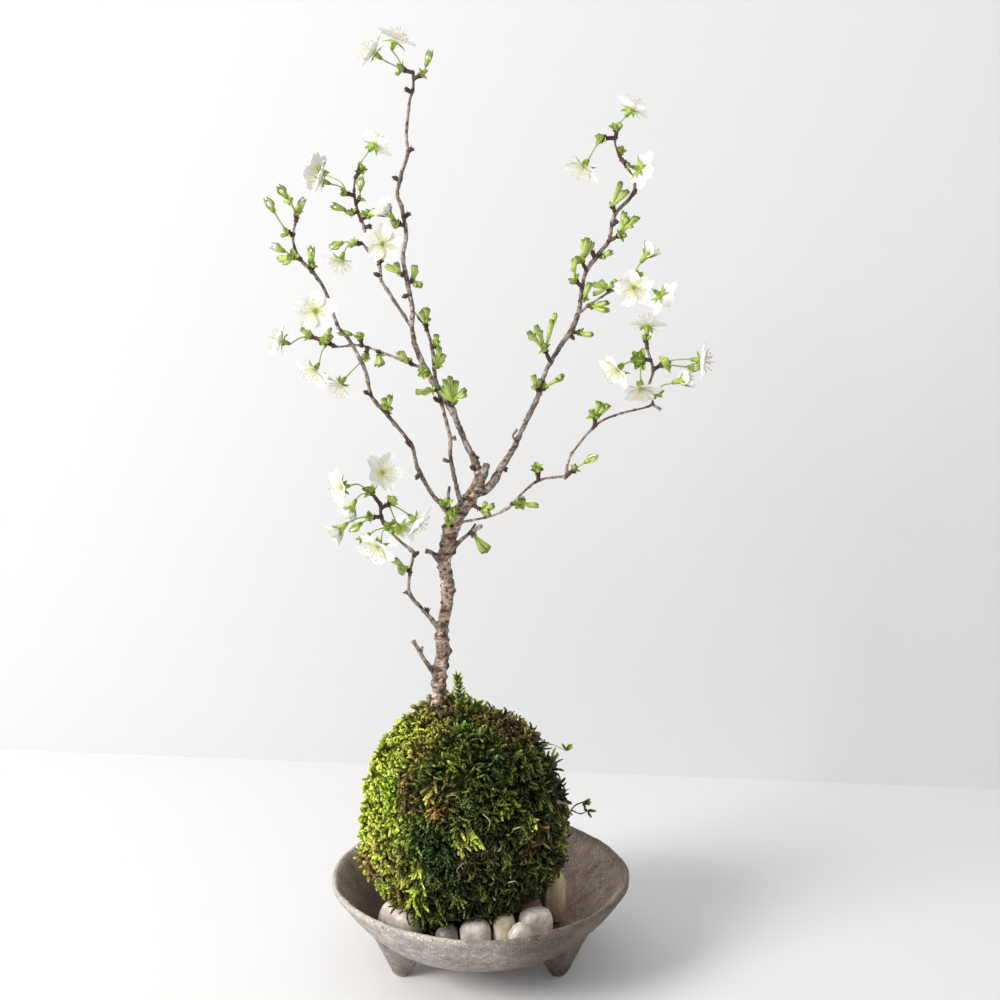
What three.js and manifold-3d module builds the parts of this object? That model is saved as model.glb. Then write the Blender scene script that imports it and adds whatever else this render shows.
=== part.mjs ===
// A kokedama: a small white-flowering cherry tree that grows from a ball of moss, in a footed
// stoneware dish with pebbles. Millimetres, +Z up, the viewer on the -Y side.
// The dish's axis is x = 0, y = 0 while the pieces are made, and the table is z = 0. At the end
// the whole group is shifted so that the origin lies under the middle of its box.
import * as THREE from 'three';
import { mergeVertices } from 'three/addons/utils/BufferGeometryUtils.js';
import Module from 'manifold-3d';

const wasm = await Module();
wasm.setup();

// Dish
const DISH_RADIUS = 80;
const DISH_HEIGHT = 50;
const DISH_OUTSIDE = [[0, 12], [28, 12.3], [46, 15.5], [60, 23.5], [71, 35], [80, 47.5], [79.4, 49.6]];
const DISH_INSIDE = [[77.6, 50], [75.9, 47.5], [68, 36.5], [57, 25.8], [45, 20.5], [30, 18], [0, 17.6]];
const DISH_SIDES = 30;
const RIM_PINCH = 0.03;
const RIM_DIP = 1.8;
const FOOT_CIRCLE = 46.5;
const FOOT_ANGLES = [-27, 90, 207];
const FOOT_PROFILE = [[0, 0], [3.8, 0], [4.8, 1.2], [6.8, 7], [10, 13], [15.5, 20], [0, 20]];
const FOOT_SPLAY = 3.5;
const FOOT_SIDES = 8;

// Moss ball with the soil inside it
const BALL_CENTRE = new THREE.Vector3(-8, 0, 77);
const BALL_SIZE = { side: 53, up: 57.5, down: 61 };
const BALL_BOXINESS = 2.25;
const BALL_DETAIL = 5;
const BALL_FLOOR = 18.3;
const BULGE_SPREAD = 0.12;
// Where the ball stands out or, by the brown pebble, falls back: [a direction, by how much]
const BULGES = [[[-0.72, -0.2, 0.66], 5], [[-0.97, -0.15, -0.22], 3.5], [[0.98, -0.1, 0.05], 2.5],
  [[0.62, -0.47, -0.63], -7]];
const TUFT_HEIGHT = 5.2;
const TUFT_SHARE = 0.42;
const TUFT_DROOP = 0.45;
const SPRIG = [[-9.5, 130, -6, 1.6], [-10.8, 150, -6, 0.8], [-11.6, 158, -6, 0.5]];
const SPRIG_LEAVES = [[-15, 149], [-6.4, 148], [-14.6, 153], [-8, 154], [-13, 157]];
const SOIL_RADIUS = 40;
const SOIL_DETAIL = 2;
const TRUNK_SIDES = 8;
const THICK_BRANCH = 2;

// Gap between pieces that rest on or in each other, and least blade thickness
const GAP = 0.3;
const BLADE = 0.65;

// The eye that the places on the tree are sighted from: a reading [x, z, back] is a point of the
// upright plane y = 0, set back by about that many millimetres along its line of sight. The crown
// spreads faster the further it is from that plane.
const EYE = new THREE.Vector3(10.5, -750, 411);
const SPREAD = 0.03;
const SEED = 20111;

// Colours and finish
const finish = (color, roughness) => new THREE.MeshStandardMaterial({ color, roughness, metalness: 0 });
const STONEWARE = finish(0x8f8780, 0.75);
const SOIL = finish(0x3b2a1e, 0.95);
const MOSS = finish(0x5d7426, 0.95);
const BARK = finish(0x7d6a5c, 0.85);
const LEAF = finish(0x9dbb3c, 0.6);
const PETAL = finish(0xf6f5ef, 0.55);
const PEBBLE_COLOURS = {
  white: 0xd9d3cb, cream: 0xcbbfa9, grey: 0x8d918d, pink: 0xcdb9ad, brown: 0x5d4640,
};

// Repeatable draws between 0 and 1.
function dice(seed) {
  let state = seed;
  return () => {
    state = (state * 16807) % 2147483647;
    return state / 2147483647;
  };
}

function at([x, z, back = 0]) {
  const depth = back * (1 + SPREAD * Math.abs(back));
  return new THREE.Vector3(x, 0, z).sub(EYE).multiplyScalar(1 + depth / -EYE.y).add(EYE);
}

// A geometry with nothing but its places, each shared by the triangles that meet there.
function mergedBare(geometry) {
  const bare = geometry.clone();
  bare.deleteAttribute('normal');
  bare.deleteAttribute('uv');
  return mergeVertices(bare, 1e-4);
}

// A closed geometry as a solid that can be joined and cut.
function solid(geometry) {
  const merged = mergedBare(geometry);
  const index = merged.index.array;
  const triangles = [];
  for (let i = 0; i < index.length; i += 3) {
    const [a, b, c] = [index[i], index[i + 1], index[i + 2]];
    if (a !== b && b !== c && c !== a) triangles.push(a, b, c);
  }
  const vertProperties = Float32Array.from(merged.attributes.position.array);
  const triVerts = Uint32Array.from(triangles);
  return new wasm.Manifold(new wasm.Mesh({ numProp: 3, vertProperties, triVerts }));
}

function joined(solids) {
  return solids.reduce((whole, next) => whole.add(next));
}

function geometryOf(piece) {
  const { vertProperties, triVerts, numProp } = piece.getMesh();
  const positions = new Float32Array((vertProperties.length / numProp) * 3);
  for (let i = 0; i < positions.length / 3; i += 1) {
    for (let k = 0; k < 3; k += 1) positions[3 * i + k] = vertProperties[numProp * i + k];
  }
  const geometry = new THREE.BufferGeometry();
  geometry.setAttribute('position', new THREE.BufferAttribute(positions, 3));
  geometry.setIndex(new THREE.BufferAttribute(Uint32Array.from(triVerts), 1));
  geometry.computeVertexNormals();
  return geometry;
}

// Moves each vertex of a geometry by a rule.
function reshape(geometry, rule) {
  const position = geometry.attributes.position;
  const point = new THREE.Vector3();
  for (let i = 0; i < position.count; i += 1) {
    point.fromBufferAttribute(position, i);
    rule(point, i);
    position.setXYZ(i, point.x, point.y, point.z);
  }
  return geometry;
}

// Two directions square to a run: the second looks as nearly as it can to where the form faces.
const STEADY = new THREE.Vector3(0.13, 0.94, 0.31);
function squareTo(run, facing = STEADY) {
  const across = new THREE.Vector3().crossVectors(facing, run).normalize();
  const other = new THREE.Vector3().crossVectors(run, across);
  return [across, other];
}

// A limb with one ring of vertices at each point, with a radius of its own there. Each ring faces
// as the one before it does, so that no part of the limb is twisted.
function limb(points, radii, sides) {
  const last = points.length - 1;
  const frames = [];
  for (let i = 0; i <= last; i += 1) {
    const along = points[Math.min(i + 1, last)].clone().sub(points[Math.max(i - 1, 0)]).normalize();
    frames.push(squareTo(along, i > 0 ? frames[i - 1][1] : STEADY));
  }
  const tube = new THREE.CylinderGeometry(1, 1, last, sides, last);
  return reshape(tube, (point) => {
    const i = Math.round(point.y + last / 2);
    const [across, other] = frames[i];
    const [x, z] = [point.x * radii[i], point.z * radii[i]];
    point.copy(points[i]).addScaledVector(across, x).addScaledVector(other, -z);
  });
}

// A limb from readings of [x, z, back, radius].
function branch(readings, sides = 5) {
  return solid(limb(readings.map(at), readings.map((reading) => reading[3]), sides));
}

// A pointed form with a four-cornered middle: a bract or a folded young leaf.
function blade(from, to, width, thickness, facing = STEADY, fullest = 0.55) {
  const along = to.clone().sub(from);
  const [across, other] = squareTo(along.clone().normalize(), facing);
  return solid(reshape(new THREE.OctahedronGeometry(1), (point) => {
    const [x, y, z] = point.toArray();
    const share = y > 0.5 ? 1 : Number(y > -0.5) * fullest;
    point.copy(from).addScaledVector(along, share);
    point.addScaledVector(across, (x * width) / 2).addScaledVector(other, (-z * thickness) / 2);
  }));
}

// A turned form whose profile of [radius, height] runs up its axis, along +Z.
function turned(profile, sides) {
  const points = profile.map(([radius, height]) => new THREE.Vector2(radius, height));
  return new THREE.LatheGeometry(points, sides).rotateX(Math.PI / 2);
}

// Places a geometry made along +Z so that it starts at a point and runs in a direction.
function placed(geometry, from, direction, scale = 1) {
  const facing = new THREE.Quaternion().setFromUnitVectors(new THREE.Vector3(0, 0, 1), direction);
  geometry.scale(scale, scale, scale).applyQuaternion(facing).translate(from.x, from.y, from.z);
  return solid(geometry);
}

// A turned form with points round its rim: the ring at one place in the profile swings between
// the rim's radius and height there and those of the valleys between its points.
function starForm(profile, rimRing, valley, count) {
  const star = turned(profile, 2 * count);
  const [radius, height] = profile[rimRing];
  return reshape(star, (point) => {
    const reach = Math.hypot(point.x, point.y);
    if (Math.abs(point.z - height) > 1e-3 || Math.abs(reach - radius) > 1e-3) return;
    const turn = Math.round((Math.atan2(point.y, point.x) * count) / Math.PI + count / 2);
    if (turn % 2 === 0) return;
    point.set((point.x * valley[0]) / reach, (point.y * valley[0]) / reach, valley[1]);
  });
}

// The tree's wood: readings of [x, z, back, radius].
const TRUNK_FOOT = [[-13, 90, 0, 4.4], [-17.5, 118, 0, 4.6], [-21, 136, 0, 4.5], [-21.3, 150, 0, 3.9]];
const TRUNK = [
  ...TRUNK_FOOT, [-21.2, 160, 0, 3.7], [-19.6, 170, 0, 3.6], [-19.7, 180, -1, 3.3], [-18.6, 190, -1, 2.9],
  [-16.9, 200, -1, 3.1], [-16.5, 206, 0, 3.4], [-16.8, 211, 0, 3.3], [-18.3, 220, 1, 3.5],
  [-16.2, 230, 1, 3.9], [-13.8, 240, 1, 4.1], [-10, 247, 0, 3.9], [-5.5, 253, 0, 3.6],
  [-2.3, 258, 0, 3.4], [0, 263, 0, 3], [-0.6, 268.5, 1, 2.3],
];
const BRANCHES = [
  // The leader
  [[-0.4, 267, 1, 2.3], [-3, 275, 2, 1.9], [-5.7, 280, 3, 1.6], [-10.1, 290, 4, 1.5], [-12, 295, 4, 1.5],
    [-13.8, 299.5, 4, 2], [-17.6, 305.5, 3, 1.8], [-20.8, 310, 2, 1.7], [-26.5, 319.5, 1, 1.5],
    [-31.3, 330, -1, 1.4], [-33.3, 340, -2, 1.2], [-33.2, 351, -3, 1.15], [-35.6, 364, -4, 1.15],
    [-37.4, 376, -4, 1.1], [-35.7, 387, -4, 1], [-37.8, 400, -3, 1], [-39.8, 406, -3, 1],
    [-37.6, 416, -2, 0.9], [-34.6, 425, -1, 0.85], [-35, 435, 0, 0.8], [-33.2, 450, 1, 0.65],
    [-31.4, 457, 1, 0.6], [-31.3, 464, 1, 0.6]],
  // The stem that passes behind the leader
  [[-8.5, 248, -2, 1.5], [-11.5, 259, -4, 1.15], [-14.6, 275, -2, 1.05], [-14.8, 285, 0, 1],
    [-17.3, 296, 3, 0.95], [-21, 311, 7, 0.95], [-22.6, 320, 7, 0.9], [-23.6, 331, 6, 0.85],
    [-26.2, 340, 6, 0.75], [-29.5, 345, 6, 0.5], [-34.5, 352, 6, 0.45]],
  // The left main branch
  [[-12.6, 242.4, 0, 1.9], [-20, 251, -5, 1.2], [-25.5, 258, -8, 1.1], [-31.5, 270, -12, 1],
    [-34.6, 281.5, -15, 1],
    [-45.4, 295.7, -18, 0.95], [-54, 306, -20, 0.9], [-57, 319, -22, 0.9], [-65, 335, -24, 0.85],
    [-70.1, 341, -25, 0.8], [-76.3, 359, -26, 0.8], [-82, 368, -27, 0.75], [-88.5, 375, -27, 0.7],
    [-91.6, 384.5, -28, 0.65], [-89.8, 393.5, -28, 0.55]],
  // The middle-left branch
  [[-33.6, 341, -2, 1], [-36.5, 345.5, 0, 0.9], [-44.5, 358, 8, 0.85], [-48.4, 364.5, 11, 0.8],
    [-49.4, 373, 14, 0.8], [-55.4, 380, 17, 0.8], [-56.3, 390, 19, 0.75], [-59.2, 397, 20, 0.7],
    [-61, 407, 21, 0.6], [-60, 415, 22, 0.55]],
  // The thin branch that crosses to the left behind the left main branch
  [[-27, 320.5, 1, 1], [-33, 322.3, 4, 0.8], [-50, 329, 10, 0.65], [-60, 332, 12, 0.6],
    [-72, 331.4, 12, 0.55],
    [-80, 335, 11, 0.5]],
  // The right main branch
  [[-2, 256, 0, 2.6], [6, 261, -1, 2.2], [11, 269.5, 1, 1.9], [17.5, 280, 5, 1.5], [22.5, 291, 8, 1.35],
    [29.7, 306.5, 11, 1.4], [33.5, 319, 13, 1.15], [41, 332, 16, 1.3], [46.5, 340, 18, 1.4],
    [49.6, 349, 20, 1.2], [51.5, 362, 22, 1.1], [53.3, 369, 22, 1.1], [61.5, 380, 21, 1.05],
    [64.3, 384, 21, 0.9], [66.8, 396, 19, 0.95], [74.8, 405, 17, 0.9], [76.3, 413, 16, 0.5],
    [70.5, 421, 14, 0.5], [68.6, 425, 14, 0.6], [66.5, 430, 14, 0.5], [66.8, 433.6, 14, 0.6]],
  // The side twig on its right
  [[49, 347.5, 20, 1.1], [54.3, 351.7, 16, 0.65], [62.8, 357.3, 8, 0.6], [64.8, 358.8, 6, 0.85],
    [68.8, 359.8, 3, 0.55], [76.6, 362.4, -4, 0.6]],
  // The lower right branch
  [[-13.5, 239, -1, 1.5], [-8, 241.5, -4, 0.8], [6.2, 244.6, -10, 0.55], [15.2, 249.3, -13, 0.8],
    [21.8, 256.5, -15, 0.6], [30.3, 263.2, -17, 0.6], [42, 265.2, -19, 0.55], [44, 264.8, -20, 0.85],
    [46.2, 275.5, -20, 0.65], [58.3, 291, -22, 0.6], [69.5, 297, -20, 0.5], [83, 300.5, -14, 0.5],
    [87.5, 303, -13, 0.55], [85, 310, -13, 0.55], [87.3, 319, -14, 0.65], [85.5, 326, -14, 0.7],
    [83.8, 331.5, -14, 0.9]],
  // The lower left twig
  [[-20.5, 184, -1, 2], [-24.6, 188.8, -3, 1.3], [-30.5, 196, -8, 1], [-35.8, 202.2, -12, 1],
    [-36.6, 210, -14, 0.75], [-34.4, 222.3, -16, 0.75], [-33.8, 225, -17, 1], [-42, 232.5, -17, 0.65],
    [-49.6, 241.8, -17, 0.8], [-50.7, 251.5, -17, 0.75]],
];
// Dead snags, cut stubs and short spurs without leaves
const STUBS = [
  [[-22, 158, -2, 1.8], [-28.3, 166.5, -5, 1.1], [-33, 174.7, -7, 1], [-34.9, 178, -7, 1.4]],
  [[-30.8, 170, -6, 0.8], [-30, 174.8, -6, 0.7]],
  [[0.5, 262, -2, 2.3], [2.3, 267, -3, 2.3], [3.6, 271.5, -4, 1.7]],
  [[-15, 247, -4, 1], [-16, 253, -6, 0.8], [-15.3, 260, -6, 0.8]],
  [[-13, 228.8, 1, 1.4], [-5.5, 235.2, -3, 0.9], [1, 239.4, -6, 1.1]],
  [[-6, 234.6, -3, 0.7], [-2, 240.4, -1, 0.65]],
  [[-18.5, 219.5, 0, 2.4], [-24.2, 225, -3, 1.2], [-27.8, 226.2, -3, 1.3]],
  [[19, 282.5, 5, 0.6], [17, 286, 4, 0.5], [19.2, 289.6, 4, 0.9]],
  [[-14.6, 272.5, -2, 0.6], [-18.2, 274, -3, 1.3]],
  [[-14.8, 284.5, 0, 0.7], [-12, 285.2, 1, 1.5]],
  [[86.6, 302.6, -13, 0.7], [91.6, 299.6, -13, 0.9]],
  [[67, 433, 14, 0.5], [64.3, 432.8, 13, 0.6]],
];
// Brown buds, each from a point in the wood to its tip
const BUDS = [
  [[-34.4, 426, -1], [-31.7, 428.4, -1]],
  [[-38.4, 412.5, -2], [-42.4, 414.6, -2]],
  [[-37, 394.5, -3.5], [-33.4, 397.4, -4]], [[-32.2, 454.2, 1], [-35.8, 456.4, 0]],
  [[-34.5, 357, -4], [-38.4, 355.8, -4]],
  [[-18.2, 303.4, 5], [-23.4, 305.8, 3]], [[-2, 273, 2], [-0.6, 276, 1]],
  [[-1.6, 268, 0], [-5, 270.6, -2]], [[-30.5, 267.5, -11], [-32.6, 263.4, -12]],
  [[-34.4, 280.5, -15], [-37.4, 284.4, -16]], [[-54.4, 307, -20.2], [-58.4, 309, -21]],
  [[-48.4, 366, 11.6], [-52.2, 368, 11]], [[-56.2, 390, 19], [-52.4, 391, 18]],
  [[66.4, 391, 20], [68.6, 393.6, 19]],
  [[75.2, 404.8, 17], [77.6, 408.6, 16]], [[44.6, 338, 18], [47.8, 334.6, 17]],
  [[57.6, 374.6, 21.6], [55.6, 379.4, 21]],
  [[-36, 203, -12], [-38.4, 205, -13]], [[-27.6, 193, -5], [-27, 196, -6]],
  [[-34, 224, -16], [-31.4, 225.8, -18]], [[11, 270, 1], [14.2, 268.4, -1]],
];
const BUD_RADIUS = 1.05;
// Burls on the bark: [x, z, back, radius]
const BURLS = [
  [-16.9, 163.8, -1, 2], [-16.2, 173, 0, 1.9], [-13.8, 205, -1, 1.7], [-12.3, 226, 0, 2.3],
  [-18.8, 239, 0, 2.2], [-7, 245.6, -3, 2.2], [-2, 249.6, -2, 2.4], [2.4, 257, -2, 2.2],
  [-20, 147, -3.4, 1.8],
];

// Spurs: [root, crown, [bracts, their length], ...shoots]. A shoot is [kind, tip or direction, ...via].
// Sprays that carry blooms, each a piece of its own
const SPRAYS = [
  [[-31.3, 463.4, 1], [-36, 464.8, 0], [5, 4.4],
    ['bloom', [0.4, -0.25, 0.88], [-38.6, 470, -1], [-41.6, 474, -2]],
    ['bloom', [-0.8, -0.1, 0.6], [-42, 467.5, 1], [-46.4, 469.8, 2]]],
  [[-36.2, 391, -4], [-39.6, 391.6, -6], [4, 4],
    ['half', [-0.6, -0.45, 0.65], [-41.5, 394, -7]],
    ['bud', [-47.6, 400.6, -4], [-42.5, 394.6, -5]]],
  [[-60, 414, 22], [-57.8, 417.4, 20], [5, 4.4], ['bloom', [0.62, 0.4, 0.67], [-57.4, 421, 19],
    [-53.6, 426.4, 18]]],
  [[-60.8, 405, 21], [-64.6, 406.6, 20], [4, 4],
    ['bloom', [-0.83, -0.1, 0.3], [-67.6, 409.6, 17], [-72.4, 411, 15]],
    ['bloom', [-0.8, 0.45, 0.3], [-67.6, 412, 23], [-75, 415.4, 25]]],
  [[-56, 382, 17.5], [-60.4, 382.4, 16], [4, 4],
    ['bloom', [-0.35, -0.35, -0.87], [-64.5, 381, 15], [-66.6, 378, 14]],
    ['bud', [-73.6, 380.2, 17], [-65.5, 383.2, 17]]],
  [[-73, 331.3, 12], [-76, 333.6, 9], [5, 4.6],
    ['bloom', [-0.5, -0.5, -0.7], [-78.8, 328.5, 5], [-80.2, 323, 2]],
    ['leaf', [-74.6, 341, 8]]],
  [[-79, 334.6, 11], [-83.6, 336.3, 12], [5, 4.6],
    ['bloom', [-0.9, -0.25, 0.36], [-89, 335.8, 11], [-94.4, 332.6, 10]],
    ['leaf', [-88.4, 341, 12]]],
  [[-56, 330.9, 11], [-56.4, 327.2, 8], [3, 4], ['bloom', [-0.62, -0.3, -0.73], [-60.5, 322.5, 6],
    [-67, 316, 4]]],
  [[-50.7, 250.6, -17], [-55, 256.6, -19], [6, 5],
    ['bloom', [0.5, -0.78, 0.38], [-52.2, 260.5, -20], [-51.4, 266, -21]],
    ['bloom', [-0.85, -0.5, -0.05], [-61.5, 261, -20], [-66, 260.4, -21]],
    ['half', [-0.5, -0.1, -0.86], [-60, 256, -17], [-63, 253.4, -14]]],
  [[-50.5, 248.6, -17], [-46.4, 251, -15], [5, 5.4],
    ['bloom', [0.25, 0.62, -0.74], [-44.6, 246, -12], [-42.4, 240.6, -10]],
    ['bloom', [0.75, -0.15, -0.64], [-41, 248.5, -15], [-36.4, 245.4, -16]]],
  [[-50, 244, -17], [-54.6, 244.2, -18], [4, 4.6],
    ['half', [-0.76, -0.2, -0.62], [-61.5, 243.6, -20], [-67.6, 241, -22]],
    ['bud', [-66.6, 236.6, -14], [-59.6, 241.4, -14]]],
  [[-49, 241, -17], [-45.8, 239.2, -20], [5, 4.6],
    ['bud', [-63, 231.2, -24], [-53, 237.2, -22.4]],
    ['bloom', [-0.35, -0.75, -0.56], [-49.6, 236.6, -24], [-50.6, 232, -25]]],
  [[69.4, 422.5, 14], [72.4, 420.4, 11], [2, 3], ['bloom', [0.85, 0.45, -0.2], [74.8, 419.2, 11]]],
  [[66.8, 433, 14], [67.2, 436.8, 12], [5, 4.4], ['bloom', [0.6, 0.15, 0.78], [68.9, 440.2, 12],
    [71.4, 442.8, 11]]],
  [[65, 432.8, 13.5], [60.8, 432.6, 11], [5, 4.4], ['bloom', [-0.5, -0.3, -0.8], [57, 428.6, 10],
    [53.6, 422.6, 9]]],
  [[76, 362.2, -4], [78.4, 365, -6], [4, 4.4],
    ['half', [0.6, 0, 0.8], [78, 369.4, -6], [80, 372.8, -6]],
    ['bloom', [-0.15, -0.93, -0.33], [77.4, 362.4, -12]],
    ['bloom', [0.75, 0.35, -0.56], [83, 362.3, -6], [86.8, 359.4, -6]]],
  [[84, 330.5, -14], [83.6, 334.6, -14], [2, 3.4], ['bloom', [0.1, 0.3, 0.95], [83.7, 336.8, -14]]],
  [[85.8, 324.6, -14], [81.8, 325, -18], [7, 6.4],
    ['bloom', [-0.68, -0.45, -0.58], [76, 323.9, -20], [72.4, 322.4, -21]],
    ['bloom', [0.05, -0.5, -0.86], [81, 318.5, -21], [81.3, 314.6, -22]]],
  [[87.2, 319.6, -14], [91.6, 322.4, -13], [6, 5.6],
    ['bloom', [0.97, -0.2, -0.1], [98, 324.7, -15], [106, 325, -16]],
    ['bud', [111, 320.4, -6], [98, 321.8, -9]]],
  [[85.2, 308.6, -13], [88.8, 308.2, -15], [4, 4], ['half', [0.88, -0.15, 0.3], [92, 311.6, -17],
    [96.8, 313, -19]]],
];
// Leafy spurs, grown together with the tree
const SPURS = [
  [[-31, 460.5, 1], [-27.6, 462.4, -1], [3, 3.8], ['bud', [-22.8, 473.6, -2], [-25.6, 465.4, -1]]],
  [[-74.3, 352.5, -25], [-77, 351, -28], [0, 0], ['bloom', [-0.05, -0.98, 0.15], [-80.4, 348.6, -29]]],
  [[-49.6, 372, 13.5], [-48.6, 374.5, 11], [0, 0], ['bloom', [0.05, -0.98, 0.15], [-47.4, 381.4, 8]]],
  [[-36.2, 366, -4], [-38.8, 367.4, -5], [0, 0], ['leaf', [-41.2, 373, -6]], ['leaf', [-46, 371.6, -4]]],
  [[-35.5, 362.6, -4], [-32.8, 364.2, -2], [0, 0], ['leaf', [-31.6, 371.8, -2]],
    ['leaf', [-28, 361.4, -1]]],
  [[-26.2, 339.6, 6], [-26.5, 343.4, 4.5], [0, 0], ['leaf', [-25.6, 350.6, 3]], ['leaf', [-29, 349, 3]]],
  [[-23.6, 331, 6], [-21.6, 332, 5], [0, 0], ['leaf', [-21.2, 337.6, 4]]],
  [[-22.6, 320, 7], [-21.2, 321.6, 5], [0, 0], ['leaf', [-19.6, 331, 4]], ['leaf', [-17.2, 327.6, 5]]],
  [[-25.6, 318, 1], [-26.6, 318.4, -2.5], [6, 4.6]],
  [[-21, 310, 2], [-23.6, 309.4, -0.5], [0, 0], ['leaf', [-32, 308.6, -2]]],
  [[-14.6, 300, 4], [-13, 303.2, 1], [0, 0], ['leaf', [-18, 312, -1]], ['leaf', [-14.8, 316.4, 0]],
    ['leaf', [-6.6, 310, 0], [-11.6, 305.4, 0]]],
  [[-34, 322.8, 4.4], [-35.4, 324.2, 2], [0, 0], ['leaf', [-40.8, 328.6, 1]]],
  [[-50, 329, 10], [-50, 327.4, 8.6], [0, 0], ['leaf', [-49.4, 321.6, 7]]],
  [[-58.5, 331.6, 12], [-59.2, 335.2, 10], [4, 4.2], ['bud', [-70.6, 339, 8], [-63, 337.3, 9]]],
  [[-46.3, 296.8, -18], [-46.2, 299.2, -19], [0, 0], ['leaf', [-44.8, 306.4, -20]],
    ['leaf', [-48.4, 305.4, -20]]],
  [[-82.5, 368.5, -27], [-82.6, 371.2, -28], [2, 3.2], ['bud', [-82.8, 381, -28]]],
  [[-88.2, 374.6, -27], [-91.4, 375.6, -29], [4, 4], ['bud', [-103, 381.6, -31], [-95, 378, -30]],
    ['leaf', [-99.4, 375, -27]]],
  [[-91.4, 386.5, -28], [-93.9, 387.3, -29], [3, 3.6], ['bud', [-104.4, 404.2, -31], [-98, 393.4, -30]]],
  [[-89.8, 392.6, -28], [-89.3, 396, -28], [4, 4], ['bud', [-98.6, 410.4, -30], [-92, 402, -29]],
    ['bud', [-94.4, 405.4, -23]], ['bud', [-85.6, 404.4, -27]]],
  [[-59.3, 397.6, 20], [-62, 397.3, 18], [2, 3.6], ['bud', [-72.2, 400.8, 17]]],
  [[-60.2, 402, 20.5], [-58.2, 404, 19], [0, 0], ['bud', [-57.4, 414.4, 17]]],
  [[-57.6, 393.4, 19.5], [-55.6, 395.8, 17.6], [4, 4], ['leaf', [-49.6, 397.4, 16]]],
  [[-36.4, 214.4, -15], [-37.8, 216.8, -16], [0, 0], ['leaf', [-45, 221.6, -17]],
    ['leaf', [-41.6, 217.4, -18]]],
  [[35.2, 323.5, 14], [33, 329.4, 12], [4, 4.4], ['leaf', [24.6, 339, 10], [28.6, 334.4, 11]],
    ['leaf', [28.4, 342, 12], [31, 336, 12]], ['leaf', [36.4, 345, 12], [35, 337, 12]]],
  [[30.5, 309, 11.5], [32.8, 310.6, 9.6], [0, 0], ['leaf', [42.4, 317.4, 8], [36.4, 313, 9]]],
  [[30.4, 308, 11.5], [28.6, 310.6, 10], [0, 0], ['leaf', [27.2, 317, 9]]],
  [[46, 338.2, 18], [50.2, 338.4, 16], [0, 0], ['leaf', [56.8, 337.4, 15]]],
  [[54.5, 351.8, 15.8], [56.2, 351.4, 13.6], [0, 0], ['leaf', [64.4, 353.4, 11]],
    ['leaf', [65, 349.2, 12]]],
  [[50.4, 353.6, 21], [52.2, 355.4, 19], [0, 0], ['leaf', [55.2, 363, 17]]],
  [[64.6, 358.8, 6], [64, 360.6, 4], [0, 0], ['leaf', [56.4, 362.6, 3]], ['leaf', [71.4, 363.4, 2]]],
  [[51.3, 360.5, 22], [48, 364, 20], [4, 4.2], ['leaf', [46.8, 375, 19], [47.4, 368, 19]]],
  [[53.3, 369, 22], [50.9, 373.6, 20], [4, 4.2], ['leaf', [53.6, 385, 18], [52, 377.6, 19]],
    ['leaf', [56.4, 383, 20], [53.6, 377.4, 20]]],
  [[58.8, 376.8, 22], [61, 375.8, 20], [0, 0], ['leaf', [65.4, 378.6, 19]]],
  [[64, 383, 21], [69, 386, 19], [5, 4.4], ['leaf', [71.8, 397.6, 18], [70.8, 390.6, 18]],
    ['leaf', [77.4, 395.2, 17], [72.8, 390.4, 18]]],
  [[67, 396.6, 19], [65.8, 400.6, 18], [0, 0], ['leaf', [69.8, 412, 15], [67.2, 405, 16]],
    ['leaf', [73.4, 408, 14], [69, 403.6, 15]]],
  [[68.6, 424.6, 14], [69.6, 426.6, 12], [3, 3.4]],
  [[16.6, 251, -13.6], [20.4, 251.4, -17], [6, 4.6], ['leaf', [29.6, 250.6, -17], [23.6, 250.8, -17]]],
  [[30, 263, -17], [29.8, 267.6, -18], [6, 4.8]],
  [[44.2, 265.3, -20], [48, 268.6, -21], [3, 3.8], ['bud', [60, 276.2, -23], [52.3, 271.6, -22]]],
  [[58.4, 291.3, -22], [58.7, 295.6, -23], [6, 4.6], ['leaf', [60.2, 304, -23]],
    ['leaf', [65.4, 302.2, -23]]],
  [[-4, 250, -2], [0.8, 247.8, -5], [0, 0], ['leaf', [7.6, 250.2, -6]], ['leaf', [5.6, 245.2, -6]]],
  [[-15.6, 246, -3], [-18, 250.6, -7.4], [5, 4.6]],
  [[-13.2, 243, -3], [-13, 247, -7], [4, 4]],
  [[-15.4, 237.6, -2.8], [-15.4, 240, -6], [0, 0], ['leaf', [-13.6, 245.6, -7.4]]],
  [[-4.6, 235.6, -3.6], [-2.8, 234.4, -4.6], [0, 0], ['leaf', [5.4, 227.2, -6]]],
];

// The place on the middle line of the wood that is nearest to a point.
const WOOD_RUNS = [TRUNK, ...BRANCHES, ...STUBS].flatMap((readings) => {
  const points = readings.map(at);
  return points.slice(1).map((point, i) => new THREE.Line3(points[i], point));
});
function inWood(point) {
  const spots = WOOD_RUNS.map((run) => run.closestPointToPoint(point, true, new THREE.Vector3()));
  return spots.reduce((best, spot) => (spot.distanceTo(point) < best.distanceTo(point) ? spot : best));
}

// Flower parts. The petals are notched and cupped, and lift by an angle from flat open. A star is
// the sepals' profile of [radius, height], with the place of the valleys between them.
const PETAL_OUTLINE = [[0.95, 1.3], [3.2, 4.9], [1.6, 8.5], [0, 7.5], [-1.6, 8.5], [-3.2, 4.9]];
const PETAL_CUP = 0.05;
const PETAL_LIFT = 0.28;
const CALYX_TUBE = { length: 3, radius: 1.35 };
const SEPALS = [[0, 2.3], [4.6, 3.6], [0, 4.3]];
const SEPAL_VALLEY = [1.6, 4.1];
const CALYX_LENGTH = 4.3;
const HALF_OPEN = [[0, 2.3], [2.5, 4.4], [5, 10.8], [0, 5.8]];
const HALF_OPEN_VALLEY = [3.2, 8.6];

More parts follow.
